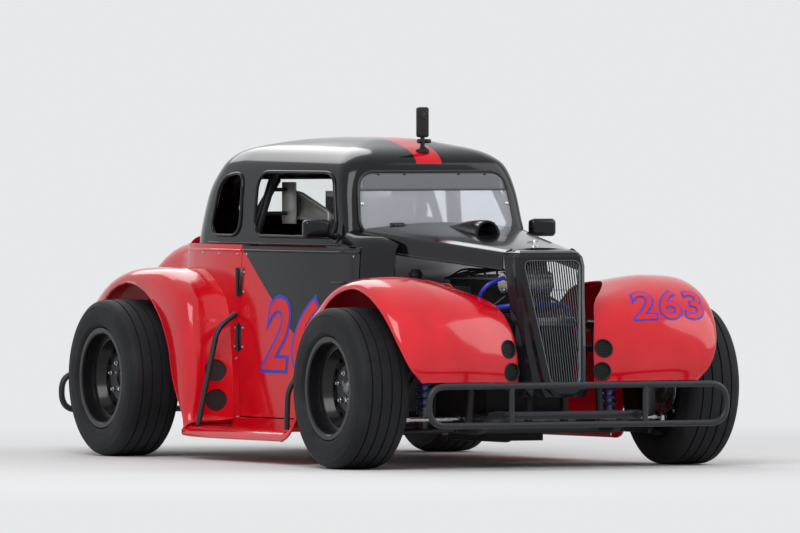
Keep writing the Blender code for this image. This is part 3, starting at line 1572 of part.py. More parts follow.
def mirror():
    """Left door mirror on its short stalk."""
    low = BELT_HEIGHT + MIRROR_RISE
    body = box((MIRROR_IN, MIRROR_FRONT, low), (MIRROR_OUT, MIRROR_BACK, low + MIRROR_HEIGHT))
    bevel = body.modifiers.new("edge", "BEVEL")
    bevel.width = MIRROR_BEVEL
    bevel.segments = 2
    body = baked(body)
    middle = (MIRROR_FRONT + MIRROR_BACK) / 2
    foot = (MIRROR_FOOT_X, middle + MIRROR_RADIUS, low - MIRROR_RADIUS * 0.8)
    stalk = rod(foot, (MIRROR_IN + MIRROR_RADIUS * 3, middle, low + MIRROR_RADIUS * 2), MIRROR_RADIUS)
    return cut(joined(body, stalk), cab_solid(TOUCH))


def roof_camera():
    """Small camera on a round base with a thumb screw."""
    y, low = CAMERA_Y, ROOF_HEIGHT - CAMERA_BASE_DEPTH
    joint = ROOF_HEIGHT - CAMERA_STEM_RADIUS * 1.5
    pieces = [
        rod((0, y, low), (0, y, low + CAMERA_STEM_RADIUS * 4), CAMERA_BASE_RADIUS, 16),
        rod((0, y, joint - CAMERA_STEM), (0, y, ROOF_HEIGHT + CAMERA_STEM_RADIUS), CAMERA_STEM_RADIUS),
        rod((-CAMERA_HALF, y, joint), (CAMERA_HALF, y, joint), CAMERA_STEM_RADIUS * 0.9),
        box(
            (-CAMERA_HALF, y - CAMERA_DEPTH / 2, ROOF_HEIGHT),
            (CAMERA_HALF, y + CAMERA_DEPTH / 2, ROOF_HEIGHT + CAMERA_RISE),
        ),
    ]
    return cut(joined(pieces[0], *pieces[1:]), cab_solid(TOUCH))


def build():
    """Every node of the car."""
    for name, x, y in (
        ("front_left", WHEEL_X, FRONT_AXLE),
        ("front_right", -WHEEL_X, FRONT_AXLE),
        ("rear_left", WHEEL_X, REAR_AXLE),
        ("rear_right", -WHEEL_X, REAR_AXLE),
    ):
        wheel(name, x, y)
    kingpin = (KINGPIN_X, FRONT_AXLE, LOWER_BALL_Z)
    pair("hub_front", front_hub, STEEL, (WHEEL_X, FRONT_AXLE, TYRE_RADIUS))
    pair("knuckle", knuckle, ALLOY, kingpin)
    pair("lower_arm", lower_arm, FRAME_BLACK)
    pair("upper_arm", upper_arm, FRAME_BLACK)
    seat_z = LOWER_BALL_Z - 0.004 + TOUCH
    tower = TOWER_Z - TUBE_RADIUS * 0.8 - TOUCH
    pair("coilover_front", lambda: coilover(COIL_X, FRONT_AXLE, seat_z, tower), BLUE)
    rear_low, rear_high = TYRE_RADIUS - 0.03 + TOUCH, FRAME_KICK_Z - TUBE_RADIUS * 0.93 - TOUCH
    pair("coilover_rear", lambda: coilover(REAR_COIL_X, REAR_AXLE + 0.07, rear_low, rear_high), BLUE)
    part("steering_rack", steering_rack(), ALLOY)
    part("rack_bar", rack_bar(), STEEL, (0, STEER_ARM_Y, RACK_Z))
    part("rear_axle", rear_axle(), FRAME_BLACK)
    pair("trailing_arm", trailing_arm, STEEL)
    part("chassis_frame", chassis_frame(), FRAME_BLACK)
    part("roll_cage", roll_cage(), FRAME_BLACK)
    part("lower_body", lower_body(), RED)
    pair("door", door, RED, DOOR_HINGE)
    part("deck_lid", deck_lid(), RED, LID_HINGE)
    part("hood", hood(), BLACK, HOOD_HINGE)
    part("cab_shell", cab_shell(), BLACK)
    part("windshield", windshield(), GLASS)
    part("rear_window", rear_window(), GLASS)
    part("grille_shell", grille_shell(), BLACK)
    part("grille_bars", grille_bars(), STEEL)
    pair("front_fender", front_fender, RED)
    pair("rear_fender", rear_fender, RED)
    front_y = FRONT_AXLE - FRONT_OVERHANG + BAR_RADIUS
    rear_y = REAR_AXLE + REAR_OVERHANG - BAR_RADIUS
    frame_nose = FRAME_FRONT + 0.02 - TOUCH
    front_loop = bumper(front_y, BUMPER_HALF, BUMPER_LOW, BUMPER_HIGH, frame_nose, 0.19)
    part("front_bumper", front_loop, FRAME_BLACK)
    frame_tail = FRAME_REAR - 0.02 + TUBE_RADIUS + TOUCH
    part(
        "rear_bumper",
        bumper(rear_y, REAR_BUMPER_HALF, REAR_BUMPER_LOW, REAR_BUMPER_HIGH, frame_tail, 0.225),
        FRAME_BLACK,
    )
    pair("side_bar_rear", rear_side_bar, FRAME_BLACK)
    pair("side_bar_front", front_side_bar, FRAME_BLACK)
    part("floor_pan", floor_pan(), ALLOY)
    part("seat", seat(), ALLOY)
    part("dash_panel", dash_panel(), PLASTIC)
    part("steering_wheel", steering_wheel(), PLASTIC, COLUMN_END)
    part("engine", engine(), ALLOY)
    part("airbox", airbox(), PLASTIC)
    part("radiator", radiator(), PLASTIC)
    part("fuel_cell", fuel_cell(), PLASTIC)
    part("catch_can", rod(CAN_START, CAN_END, CAN_RADIUS, 20), ALLOY)
    pair("mirror", mirror, BLACK)
    part("roof_camera", roof_camera(), PLASTIC)


build()
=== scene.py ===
"""Looks of the legends race car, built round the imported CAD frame."""

import json
import math

import bmesh
import bpy
from mathutils import Matrix, Vector
from mathutils.bvhtree import BVHTree


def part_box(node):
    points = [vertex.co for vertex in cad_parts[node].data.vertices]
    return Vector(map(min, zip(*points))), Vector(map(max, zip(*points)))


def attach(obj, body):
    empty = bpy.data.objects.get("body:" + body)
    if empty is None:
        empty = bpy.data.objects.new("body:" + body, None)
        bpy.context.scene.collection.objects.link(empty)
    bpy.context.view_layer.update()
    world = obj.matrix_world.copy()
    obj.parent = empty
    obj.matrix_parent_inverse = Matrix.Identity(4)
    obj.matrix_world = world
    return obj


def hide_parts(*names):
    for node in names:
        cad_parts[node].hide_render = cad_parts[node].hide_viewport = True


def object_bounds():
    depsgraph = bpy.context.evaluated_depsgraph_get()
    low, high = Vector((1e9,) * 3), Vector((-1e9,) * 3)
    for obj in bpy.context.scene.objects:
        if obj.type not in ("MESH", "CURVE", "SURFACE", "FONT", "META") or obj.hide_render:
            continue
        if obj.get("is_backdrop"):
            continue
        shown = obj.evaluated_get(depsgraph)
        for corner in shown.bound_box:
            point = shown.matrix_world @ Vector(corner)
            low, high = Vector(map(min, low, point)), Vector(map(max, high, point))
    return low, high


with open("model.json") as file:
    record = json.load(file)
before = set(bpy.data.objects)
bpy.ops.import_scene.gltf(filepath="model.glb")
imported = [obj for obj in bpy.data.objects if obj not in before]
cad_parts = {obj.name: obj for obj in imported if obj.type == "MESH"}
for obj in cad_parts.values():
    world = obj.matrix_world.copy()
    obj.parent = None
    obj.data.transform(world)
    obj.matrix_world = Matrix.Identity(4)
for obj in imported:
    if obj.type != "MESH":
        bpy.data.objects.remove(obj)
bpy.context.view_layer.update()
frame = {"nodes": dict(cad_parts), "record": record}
NODES = frame["nodes"]

# Places are measured from the middle of the wheelbase, as in the CAD
SHIFT = -0.1865
FRONT_AXLE, REAR_AXLE = -0.927, 0.927
WHEEL_X, TYRE_RADIUS, TYRE_WIDTH = 0.650, 0.2825, 0.205
BELT, SILL = 0.769, 0.120
SKIN = 0.005
SIDES = (("left", 1), ("right", -1))
AXIS_X, AXIS_Y, AXIS_Z = (1, 0, 0), (0, 1, 0), (0, 0, 1)


# Materials
def material(name, colour, roughness, metallic=0.0, coat=0.0, specular=0.5, **sockets):
    """Principled material with one value a socket."""
    mat = bpy.data.materials.new(name)
    mat.use_nodes = True
    shader = mat.node_tree.nodes["Principled BSDF"]
    shader.inputs["Base Color"].default_value = (*colour, 1.0)
    shader.inputs["Roughness"].default_value = roughness
    shader.inputs["Metallic"].default_value = metallic
    shader.inputs["Coat Weight"].default_value = coat
    shader.inputs["Specular IOR Level"].default_value = specular
    for socket, value in sockets.items():
        shader.inputs[socket.replace("_", " ")].default_value = value
    return mat


def node(mat, kind, **values):
    made = mat.node_tree.nodes.new(kind)
    for key, value in values.items():
        if key in made.inputs:
            made.inputs[key].default_value = value
        else:
            setattr(made, key, value)
    return made


def link(mat, start, end):
    mat.node_tree.links.new(start, end)


def place_output(mat):
    """Object coordinates, which stay with a piece as it moves."""
    return node(mat, "ShaderNodeTexCoord").outputs["Object"]


def grained(name, colour, scale, bump, low, high, metallic=0.0, coat=0.0, specular=0.5,
            stretch=(1, 1, 1), **sockets):
    """Material with noise that varies its roughness and raises a fine bump."""
    mat = material(name, colour, (low + high) / 2, metallic, coat, specular, **sockets)
    shader = mat.node_tree.nodes["Principled BSDF"]
    mapping = node(mat, "ShaderNodeMapping", Scale=stretch)
    link(mat, place_output(mat), mapping.inputs["Vector"])
    noise = node(mat, "ShaderNodeTexNoise", Scale=scale, Detail=6.0)
    link(mat, mapping.outputs["Vector"], noise.inputs["Vector"])
    spread = node(mat, "ShaderNodeMapRange")
    spread.inputs["To Min"].default_value = low
    spread.inputs["To Max"].default_value = high
    link(mat, noise.outputs["Fac"], spread.inputs["Value"])
    link(mat, spread.outputs["Result"], shader.inputs["Roughness"])
    if bump:
        raised = node(mat, "ShaderNodeBump", Strength=bump, Distance=BUMP_HEIGHT)
        link(mat, noise.outputs["Fac"], raised.inputs["Height"])
        link(mat, raised.outputs["Normal"], shader.inputs["Normal"])
    return mat


def stained(mat, first, second, scale=6.0, low=0.45, high=0.7):
    """Colour that drifts between two shades in large soft patches."""
    shader = mat.node_tree.nodes["Principled BSDF"]
    noise = node(mat, "ShaderNodeTexNoise", Scale=scale, Detail=5.0)
    link(mat, place_output(mat), noise.inputs["Vector"])
    ramp = node(mat, "ShaderNodeValToRGB")
    ramp.color_ramp.elements[0].position = low
    ramp.color_ramp.elements[1].position = high
    ramp.color_ramp.elements[0].color = (*first, 1)
    ramp.color_ramp.elements[1].color = (*second, 1)
    link(mat, noise.outputs["Fac"], ramp.inputs["Fac"])
    link(mat, ramp.outputs["Color"], shader.inputs["Base Color"])
    return mat


BUMP_HEIGHT = 0.001
RED_COLOUR, BLACK_COLOUR = (0.66, 0.004, 0.014), (0.006, 0.0065, 0.009)
# Name, colour, noise scale, bump, lowest and highest roughness, then what differs
RED = stained(
    grained("red_gloss", RED_COLOUR, 60, 0.02, 0.10, 0.20, coat=0.4, specular=0.35),
    (0.62, 0.003, 0.012), (0.72, 0.006, 0.018),
)
BLACK = grained("black_gloss", BLACK_COLOUR, 60, 0.02, 0.08, 0.18, coat=0.2, specular=0.2)
SATIN = grained("frame_paint", (0.019, 0.021, 0.026), 220, 0.15, 0.3, 0.5, specular=0.35)
RUBBER = stained(
    grained("tyre_rubber", (0.010, 0.010, 0.011), 900, 0.35, 0.55, 0.8, specular=0.25),
    (0.009, 0.0095, 0.011), (0.020, 0.021, 0.025),
)
RIM = grained("rim_gloss_black", (0.007, 0.007, 0.008), 60, 0.01, 0.18, 0.30, coat=0.15, specular=0.25)
ALLOY = grained("brushed_alloy", (0.62, 0.63, 0.65), 180, 0.1, 0.26, 0.42, 1.0, stretch=(1, 1, 14))
STEEL = grained("bright_steel", (0.55, 0.56, 0.58), 120, 0.05, 0.18, 0.34, 1.0)
CAST = grained("cast_alloy", (0.20, 0.205, 0.21), 400, 0.4, 0.4, 0.62, 0.9)
ENGINE_BLACK = grained("engine_black", (0.009, 0.009, 0.010), 350, 0.5, 0.45, 0.7, specular=0.25)
PLASTIC = grained("black_plastic", (0.010, 0.010, 0.011), 500, 0.25, 0.42, 0.6, specular=0.3)
BLUE = grained("blue_enamel", (0.006, 0.022, 0.33), 90, 0.05, 0.2, 0.32, coat=0.6)
GLASS = grained("clear_glass", (0.93, 0.96, 0.95), 12, 0.0, 0.01, 0.04, Transmission_Weight=1.0, IOR=1.45)
HAZED = grained("hazed_windshield", (0.84, 0.87, 0.93), 9, 0.0, 0.02, 0.09, Transmission_Weight=0.72, IOR=1.45)
MIRROR = grained("mirror_face", (0.80, 0.83, 0.87), 25, 0.0, 0.015, 0.05, 1.0)
GRILLE_METAL = grained("grille_bar_metal", (0.10, 0.105, 0.115), 150, 0.05, 0.22, 0.4, 1.0)
FILM = grained("sun_strip_film", (0.125, 0.130, 0.150), 40, 0.0, 0.30, 0.42, coat=0.1)
TRIM = grained("seal_rubber", (0.012, 0.012, 0.013), 400, 0.1, 0.35, 0.55)
BLUE_HOSE = grained("blue_hose", (0.02, 0.03, 0.42), 200, 0.1, 0.3, 0.5)
RED_WIRE = grained("red_wire", (0.5, 0.02, 0.02), 200, 0.1, 0.35, 0.5)
NUMBER_BLUE = grained("number_blue", (0.030, 0.055, 0.52), 40, 0.0, 0.28, 0.40, specular=0.25)
NUMBER_RED = grained("number_red", (0.68, 0.020, 0.022), 40, 0.0, 0.28, 0.40, specular=0.25)
EXHAUST = stained(
    grained("header_steel", (0.30, 0.22, 0.16), 150, 0.1, 0.28, 0.5, 1.0),
    (0.34, 0.27, 0.20), (0.20, 0.17, 0.20), 9,
)
SEAT_METAL = grained("seat_sheet", (0.52, 0.515, 0.50), 260, 0.12, 0.34, 0.5, 0.55, stretch=(1, 6, 1))

# Where the two-colour paints change
DOOR_SPLIT, DOOR_LEAN = -0.615 + SHIFT, 1.30
DOOR_EDGE, COWL_EDGE, COWL_LOW = -0.4265 + SHIFT, -0.20 + SHIFT, 0.60
STRIPE_HALF, ROOF_LOW = 0.050, 1.062


def compare(mat, value, operation, limit):
    step = node(mat, "ShaderNodeMath", operation=operation)
    link(mat, value, step.inputs[0])
    if isinstance(limit, float):
        step.inputs[1].default_value = limit
    else:
        link(mat, limit, step.inputs[1])
    return step.outputs[0]


def two_paints(name, base, other, choose):
    """Gloss paint in two colours. The second one shows where choose says 1."""
    mat = grained(name, base, 60, 0.02, 0.08, 0.18, coat=0.2, specular=0.2)
    parts = node(mat, "ShaderNodeSeparateXYZ")
    link(mat, place_output(mat), parts.inputs["Vector"])
    mix = node(mat, "ShaderNodeMix", data_type="RGBA")
    link(mat, choose(mat, *[parts.outputs[axis] for axis in "XYZ"]), mix.inputs[0])
    mix.inputs[6].default_value = (*base, 1)
    mix.inputs[7].default_value = (*other, 1)
    link(mat, mix.outputs[2], mat.node_tree.nodes["Principled BSDF"].inputs["Base Color"])
    return mat


def door_choice(mat, _, y, z):
    """The edge runs from the belt at the rear down and forward."""
    lean = compare(mat, z, "MULTIPLY", DOOR_LEAN)
    return compare(mat, compare(mat, y, "SUBTRACT", lean), "LESS_THAN", DOOR_SPLIT)


def body_choice(mat, _, y, z):
    """Black from the door's front edge on, and on the cowl."""
    ahead = compare(mat, y, "LESS_THAN", DOOR_EDGE)
    high = compare(mat, z, "GREATER_THAN", COWL_LOW)
    cowl = compare(mat, compare(mat, y, "LESS_THAN", COWL_EDGE), "MULTIPLY", high)
    return compare(mat, ahead, "MAXIMUM", cowl)


def roof_choice(mat, x, _, z):
    """Red stripe along the middle of the roof."""
    near = compare(mat, compare(mat, x, "ABSOLUTE", 0.0), "LESS_THAN", STRIPE_HALF)
    return compare(mat, near, "MULTIPLY", compare(mat, z, "GREATER_THAN", ROOF_LOW))


DOOR_PAINT = two_paints("door_two_colour", RED_COLOUR, BLACK_COLOUR, door_choice)
BODY_PAINT = two_paints("body_two_colour", RED_COLOUR, BLACK_COLOUR, body_choice)
ROOF_PAINT = two_paints("roof_two_colour", BLACK_COLOUR, RED_COLOUR, roof_choice)


# Shapes
def linked(bm, name="helper"):
    """Object in the scene from a bmesh, which is freed."""
    mesh = bpy.data.meshes.new(name)
    bm.to_mesh(mesh)
    bm.free()
    obj = bpy.data.objects.new(name, mesh)
    bpy.context.scene.collection.objects.link(obj)
    return obj


def loose(bm, name="helper"):
    """Object with its faces turned outward that is not yet a piece."""
    bmesh.ops.recalc_face_normals(bm, faces=bm.faces)
    return linked(bm, name)


def adopt(name, obj, mat, body, angle=35, replaces=None):
    """Name, shift, shade and attach an object made in measured places."""
    obj.name = name
    obj.data.transform(Matrix.Translation((0, SHIFT, 0)))
    obj.data.materials.clear()
    obj.data.materials.append(mat)
    obj.data.shade_smooth()
    obj.data.set_sharp_from_angle(angle=math.radians(angle))
    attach(obj, body)
    if replaces:
        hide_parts(replaces)
    return obj


def place(name, bm, mat, body, angle=35, replaces=None):
    """Finished piece from a bmesh in measured places."""
    return adopt(name, loose(bm, name), mat, body, angle, replaces)


def bake(obj):
    """Apply every modifier of an object."""
    bpy.context.view_layer.update()
    graph = bpy.context.evaluated_depsgraph_get()
    mesh = bpy.data.meshes.new_from_object(obj.evaluated_get(graph))
    obj.modifiers.clear()
    obj.data = mesh
    return obj


def boolean(target, operation, *tools):
    for tool in tools:
        step = target.modifiers.new("boolean", "BOOLEAN")
        step.operation = operation
        step.object = tool
    bake(target)
    for tool in tools:
        bpy.data.objects.remove(tool)
    return target


def curve_through(points, per, closed=False):
    """Catmull-Rom points through the given ones, per steps a span."""
    points = [Vector(p) for p in points]
    count = len(points)
    spans = count if closed else count - 1
    out = []
    for i in range(spans):
        p1, p2 = points[i], points[(i + 1) % count]
        p0 = points[i - 1] if closed or i else p1 * 2 - p2
        p3 = points[(i + 2) % count] if closed or i + 2 < count else p2 * 2 - p1
        for step in range(per):
            t = step / per
            out.append(
                0.5 * (2 * p1 + (p2 - p0) * t + (2 * p0 - 5 * p1 + 4 * p2 - p3) * t * t
                       + (3 * p1 - p0 - 3 * p2 + p3) * t**3)
            )
    return out if closed else out + [points[-1]]


def dense(sections, along, across, closed=False):
    """A finer grid through sections, smooth both ways."""
    columns = [curve_through(list(column), along) for column in zip(*sections)]
    rows = [list(row) for row in zip(*columns)]
    return [curve_through(row, across, closed) if across > 1 else row for row in rows]


def mirrored(half, middle=()):
    """Pairs on one side, those in the middle, and the other side's."""
    return half + list(middle) + [(-a, b) for a, b in reversed(half)]


def sided(side, *points):
    """Points of the left side, on the side asked for."""
    return [(side * x, y, z) for x, y, z in points]


def spaced(start, end, count):
    """Numbers from start to end, evenly spaced."""
    return [start + (end - start) * k / (count - 1) for k in range(count)]


def circle(count, radius, start=0.0):
    """Pairs round a circle about the origin."""
    turns = [2 * math.pi * (k + start) / count for k in range(count)]
    return [(radius * math.cos(a), radius * math.sin(a)) for a in turns]


def grid(rows, closed=False, caps=False, bm=None):
    """Faces between rows of points."""
    bm = bm or bmesh.new()
    verts = [[bm.verts.new(p) for p in row] for row in rows]
    for a, b in zip(verts, verts[1:]):
        count = len(a)
        for i in range(count if closed else count - 1):
            j = (i + 1) % count
            bm.faces.new((a[i], a[j], b[j], b[i]))
    if caps:
        bm.faces.new(verts[0])
        bm.faces.new(verts[-1])
    return bm


def skin(rows, thickness, inside, closed=False, top=False):
    """Solid sheet inward from a grid of points."""
    bm = grid(rows, closed)
    if top:
        bm.faces.new(list(bm.verts)[-len(rows[-1]):])
    bmesh.ops.recalc_face_normals(bm, faces=bm.faces)
    inside = Vector(inside)
    if sum(f.normal.dot(f.calc_center_median() - inside) for f in bm.faces) < 0:
        bmesh.ops.reverse_faces(bm, faces=bm.faces)
    obj = linked(bm)
    sheet = obj.modifiers.new("sheet", "SOLIDIFY")
    sheet.thickness, sheet.offset = thickness, -1
    return bake(obj)


def box_bm(low, high, bevel=0.0, segments=2, bm=None):
    bm = bm or bmesh.new()
    made = bmesh.ops.create_cube(bm, size=1)["verts"]
    low, high = Vector(low), Vector(high)
    bmesh.ops.scale(bm, vec=high - low, verts=made)
    bmesh.ops.translate(bm, vec=(high + low) / 2, verts=made)
    if bevel:
        edges = list({e for v in made for e in v.link_edges})
        bmesh.ops.bevel(bm, geom=edges, offset=bevel, segments=segments, affect="EDGES", profile=0.5)
    return bm


def slab_bm(x, half, low, high, bevel=0.0, segments=2, bm=None):
    """Box about x, from one pair of Y and Z to the other."""
    return box_bm((x - half, *low), (x + half, *high), bevel, segments, bm)


def rod_bm(start, end, radius, sides=24, end_radius=None, bm=None):
    bm = bm or bmesh.new()
    start, end = Vector(start), Vector(end)
    turn = (end - start).to_track_quat("Z", "Y").to_matrix().to_4x4()
    bmesh.ops.create_cone(
        bm, cap_ends=True, segments=sides, radius1=radius,
        radius2=radius if end_radius is None else end_radius,
        depth=(end - start).length, matrix=Matrix.Translation((start + end) / 2) @ turn,
    )
    return bm


def lathe_bm(profile, centre, axis, steps=64, bm=None):
    """Revolve (along, radius) pairs about an axis through the centre."""
    bm = bm or bmesh.new()
    axis = Vector(axis).normalized()
    side = axis.orthogonal().normalized()
    other = axis.cross(side)
    rings = []
    for step in range(steps):
        a = 2 * math.pi * step / steps
        out = side * math.cos(a) + other * math.sin(a)
        rings.append([bm.verts.new(Vector(centre) + axis * x + out * r) for x, r in profile])
    for k in range(steps):
        a, b = rings[k], rings[(k + 1) % steps]
        for i in range(len(profile)):
            j = (i + 1) % len(profile)
            bm.faces.new((a[i], a[j], b[j], b[i]))
    bmesh.ops.remove_doubles(bm, verts=bm.verts, dist=1e-6)
    return bm


def pipe_bm(points, radius, sides=10, closed=False, bm=None, caps=True):
    """Round pipe along points with frames that do not twist."""
    bm = bm or bmesh.new()
    points = [Vector(p) for p in points]
    count = len(points)
    rings, side = [], None
    for i, point in enumerate(points):
        before = points[i - 1] if closed or i else point
        after = points[(i + 1) % count] if closed or i + 1 < count else point
        along = (after - before).normalized()
        side = along.orthogonal() if side is None else side - along * side.dot(along)
        side.normalize()
        other = along.cross(side)
        rings.append([
            bm.verts.new(point + (side * math.cos(a) + other * math.sin(a)) * radius)
            for a in (2 * math.pi * k / sides for k in range(sides))
        ])
    for i in range(count if closed else count - 1):
        a, b = rings[i], rings[(i + 1) % count]
        turn = 0
        if closed and i == count - 1:
            turn = min(range(sides), key=lambda t: (a[0].co - b[t].co).length)
        for k in range(sides):
            bm.faces.new((a[k], a[(k + 1) % sides], b[(k + 1 + turn) % sides], b[(k + turn) % sides]))
    if caps and not closed:
        bm.faces.new(rings[0])
        bm.faces.new(rings[-1])
    return bm


def round_path(points, bend, closed=False, steps=6):
    """Points with each corner replaced by a short curve."""
    points = [Vector(p) for p in points]
    count, path = len(points), []
    for i, corner in enumerate(points):
        if not closed and i in (0, count - 1):
            path.append(corner)
            continue
        before, after = points[i - 1] - corner, points[(i + 1) % count] - corner
        reach = min(bend, before.length / 2.1, after.length / 2.1)
        first, last = corner + before.normalized() * reach, corner + after.normalized() * reach
        for step in range(steps + 1):
            t = step / steps
            path.append(first.lerp(corner, t).lerp(corner.lerp(last, t), t))
    return path


def prism_obj(outline, axis, low, high):
    """Helper prism: a flat outline pushed along X, Y or Z."""
    order = {
        "X": lambda a, b, c: (c, a, b), "Y": lambda a, b, c: (a, c, b), "Z": lambda a, b, c: (a, b, c),
    }
    rows = [[order[axis](a, b, end) for a, b in outline] for end in (low, high)]
    return loose(grid(rows, True, True))


def outline_of(corners, radius, steps=8):
    flat = [(a, b, 0) for a, b in corners]
    return [(p.x, p.y) for p in round_path(flat, radius, True, steps)]


def flipped(obj):
    """Mirrored copy of a helper object."""
    twin = bpy.data.objects.new("helper", obj.data.copy())
    twin.data.transform(Matrix.Scale(-1, 4, (1, 0, 0)))
    twin.data.flip_normals()
    bpy.context.scene.collection.objects.link(twin)
    return twin


def both(name, obj, mat, bodies="car", replaces=None):
    """Left piece and its mirror image, replacing the nodes of that name."""
    for (label, _), piece in zip(SIDES, (obj, flipped(obj))):
        body = bodies if bodies == "car" else f"{bodies}_{label}"
        adopt(f"{name}_look_{label}", piece, mat, body, replaces=replaces and f"{replaces}_{label}")


# Camera and stage
BACKDROP = (0.80, 0.81, 0.82, 1)
LENS, AZIMUTH, ELEVATION, DISTANCE = 628.6, math.radians(-26.553), math.radians(0.8366), 50.0
TO_RIGHT, TO_TOP = 0.00343, 0.69183


def camera():
    """The photo's view, solved from the wheels."""
    data = bpy.data.cameras.new("photo_camera")
    data.lens, data.sensor_width = LENS, 36.0
    data.clip_start, data.clip_end = 1.0, 200.0
    obj = bpy.data.objects.new("photo_camera", data)
    bpy.context.scene.collection.objects.link(obj)
    back = Vector((
        math.sin(AZIMUTH) * math.cos(ELEVATION), -math.cos(AZIMUTH) * math.cos(ELEVATION), math.sin(ELEVATION),
    ))
    right = Vector((math.cos(AZIMUTH), math.sin(AZIMUTH), 0))
    up = back.cross(right)
    matrix = Matrix((right, up, back)).transposed().to_4x4()
    matrix.translation = back * DISTANCE + right * TO_RIGHT + up * TO_TOP + Vector((0, SHIFT, 0))
    obj.matrix_world = matrix
    bpy.context.scene.camera = obj


def seen_rays(tree):
    """1 for what the camera sees straight, in a mirror or through glass."""
    rays = tree.nodes.new("ShaderNodeLightPath")
    total = None
    for name in ("Is Camera Ray", "Is Glossy Ray", "Is Transmission Ray"):
        if total is None:
            total = rays.outputs[name]
            continue
        most = tree.nodes.new("ShaderNodeMath")
        most.operation = "MAXIMUM"
        tree.links.new(total, most.inputs[0])
        tree.links.new(rays.outputs[name], most.inputs[1])
        total = most.outputs[0]
    return total


def floor_material():
    """Pale floor that keeps the shadow and fades into the backdrop."""
    mat = material("pale_floor", (0.70, 0.70, 0.70), 0.85)
    tree = mat.node_tree
    far = node(mat, "ShaderNodeVectorMath", operation="LENGTH")
    link(mat, place_output(mat), far.inputs[0])
    fade = node(mat, "ShaderNodeMapRange", interpolation_type="SMOOTHSTEP")
    for socket, value in (("From Min", 1.9), ("From Max", 5.5)):
        fade.inputs[socket].default_value = value
    link(mat, far.outputs["Value"], fade.inputs["Value"])
    share = node(mat, "ShaderNodeMath", operation="MULTIPLY")
    link(mat, fade.outputs["Result"], share.inputs[0])
    link(mat, seen_rays(tree), share.inputs[1])
    glow = node(mat, "ShaderNodeEmission")
    glow.inputs["Color"].default_value = BACKDROP
    mix = node(mat, "ShaderNodeMixShader")
    link(mat, share.outputs[0], mix.inputs[0])
    link(mat, tree.nodes["Principled BSDF"].outputs[0], mix.inputs[1])
    link(mat, glow.outputs[0], mix.inputs[2])
    link(mat, mix.outputs[0], tree.nodes["Material Output"].inputs["Surface"])
    return mat


def studio():
    scene = bpy.context.scene
    scene.view_settings.view_transform = "Standard"
    world = bpy.data.worlds.new("studio")
    scene.world = world
    world.use_nodes = True
    tree = world.node_tree
    background = tree.nodes["Background"]
    background.inputs["Color"].default_value = (0.80, 0.82, 0.85, 1)
    background.inputs["Strength"].default_value = 0.50
    bright = tree.nodes.new("ShaderNodeBackground")
    bright.inputs["Color"].default_value = BACKDROP
    bright.inputs["Strength"].default_value = 1.0
    mix = tree.nodes.new("ShaderNodeMixShader")
    tree.links.new(seen_rays(tree), mix.inputs["Fac"])
    tree.links.new(background.outputs[0], mix.inputs[1])
    tree.links.new(bright.outputs[0], mix.inputs[2])
    tree.links.new(mix.outputs[0], tree.nodes["World Output"].inputs["Surface"])
    bm = bmesh.new()
    bmesh.ops.create_grid(bm, x_segments=1, y_segments=1, size=60)
    floor = linked(bm, "floor")
    floor.location.z = -0.0005
    floor.data.materials.append(floor_material())
    floor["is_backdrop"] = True
    for name, spot, size, power in (
        ("key", (-4.5, -5.0, 6.0), 5.0, 400),
        ("fill", (5.5, -3.5, 4.0), 5.0, 170),
        ("back", (0.5, 6.0, 5.5), 5.0, 200),
    ):
        light = bpy.data.lights.new(name, "AREA")
        light.size, light.energy = size, power
        lamp = bpy.data.objects.new(name, light)
        lamp.location = spot
        lamp.rotation_mode = "QUATERNION"
        lamp.rotation_quaternion = Vector(spot).to_track_quat("Z", "Y")
        scene.collection.objects.link(lamp)


camera()
studio()

# Base look of every CAD node; the pieces below stand for many of them
LOOKS = {
    "red_paint": RED, "black_paint": BLACK, "frame_black": SATIN, "tyre_rubber": RUBBER,
    "rim_black": RIM, "bare_alloy": ALLOY, "bare_steel": STEEL, "clear_glass": GLASS,
    "black_plastic": PLASTIC, "blue_spring": BLUE,
}
for entry in frame["record"]["subparts"]:
    obj = NODES[entry["node"]]
    for index in range(len(obj.material_slots)):
        obj.material_slots[index].material = LOOKS[entry["material_slot"]]
for name, mat in (("engine", ENGINE_BLACK), ("airbox", ENGINE_BLACK), ("windshield", HAZED)):
    NODES[name].material_slots[0].material = mat


# Body
BODY_FRONT = (
    (-0.570, 0.300, 0.800, SILL), (-0.424, 0.366, 0.815, SILL), (-0.3105, 0.385, 0.828, SILL),
    (0.000, 0.418, 0.900, SILL), (0.365, 0.440, 0.900, SILL), (0.620, 0.440, 0.900, SILL),
    (0.860, 0.412, 0.900, 0.180),
)
BODY_REAR = (
    (0.906, 0.404, 0.778, 0.200), (1.100, 0.392, 0.748, 0.240), (1.290, 0.374, 0.672, 0.265),
    (1.450, 0.352, 0.560, 0.280), (1.570, 0.326, 0.420, 0.280), (1.600, 0.310, 0.330, 0.280),
)


def body_section(y, half, top, bottom, grow=0.0):
    """Bulged sides, rounded shoulders and a low crown."""
    half, top = half + grow, top + grow
    corner = min(0.060, (top - bottom) * 0.45)
    lower = half + 0.018
    knee = bottom + (top - bottom) * 0.35
    right = [
        (lower - 0.006, bottom - grow * 50), (lower - 0.001, (bottom + knee) / 2), (lower, knee),
        ((lower + half) / 2 + 0.003, (knee + top - corner) / 2),
    ]
    for a in spaced(0, math.pi / 2, 9):
        right.append((half - corner + corner * math.cos(a), top - corner + corner * math.sin(a)))
    right.append((half * 0.5, top + 0.014))
    return [(x, y, z) for x, z in mirrored(right, [(0, top + 0.020)])]


def curve_rows(table, per):
    """Table rows with smooth rows set between them, column by column."""
    padded = [[Vector((v, 0, 0)) for v in column] for column in zip(*table)]
    columns = [[p.x for p in curve_through(column, per)] for column in padded]
    return list(zip(*columns))


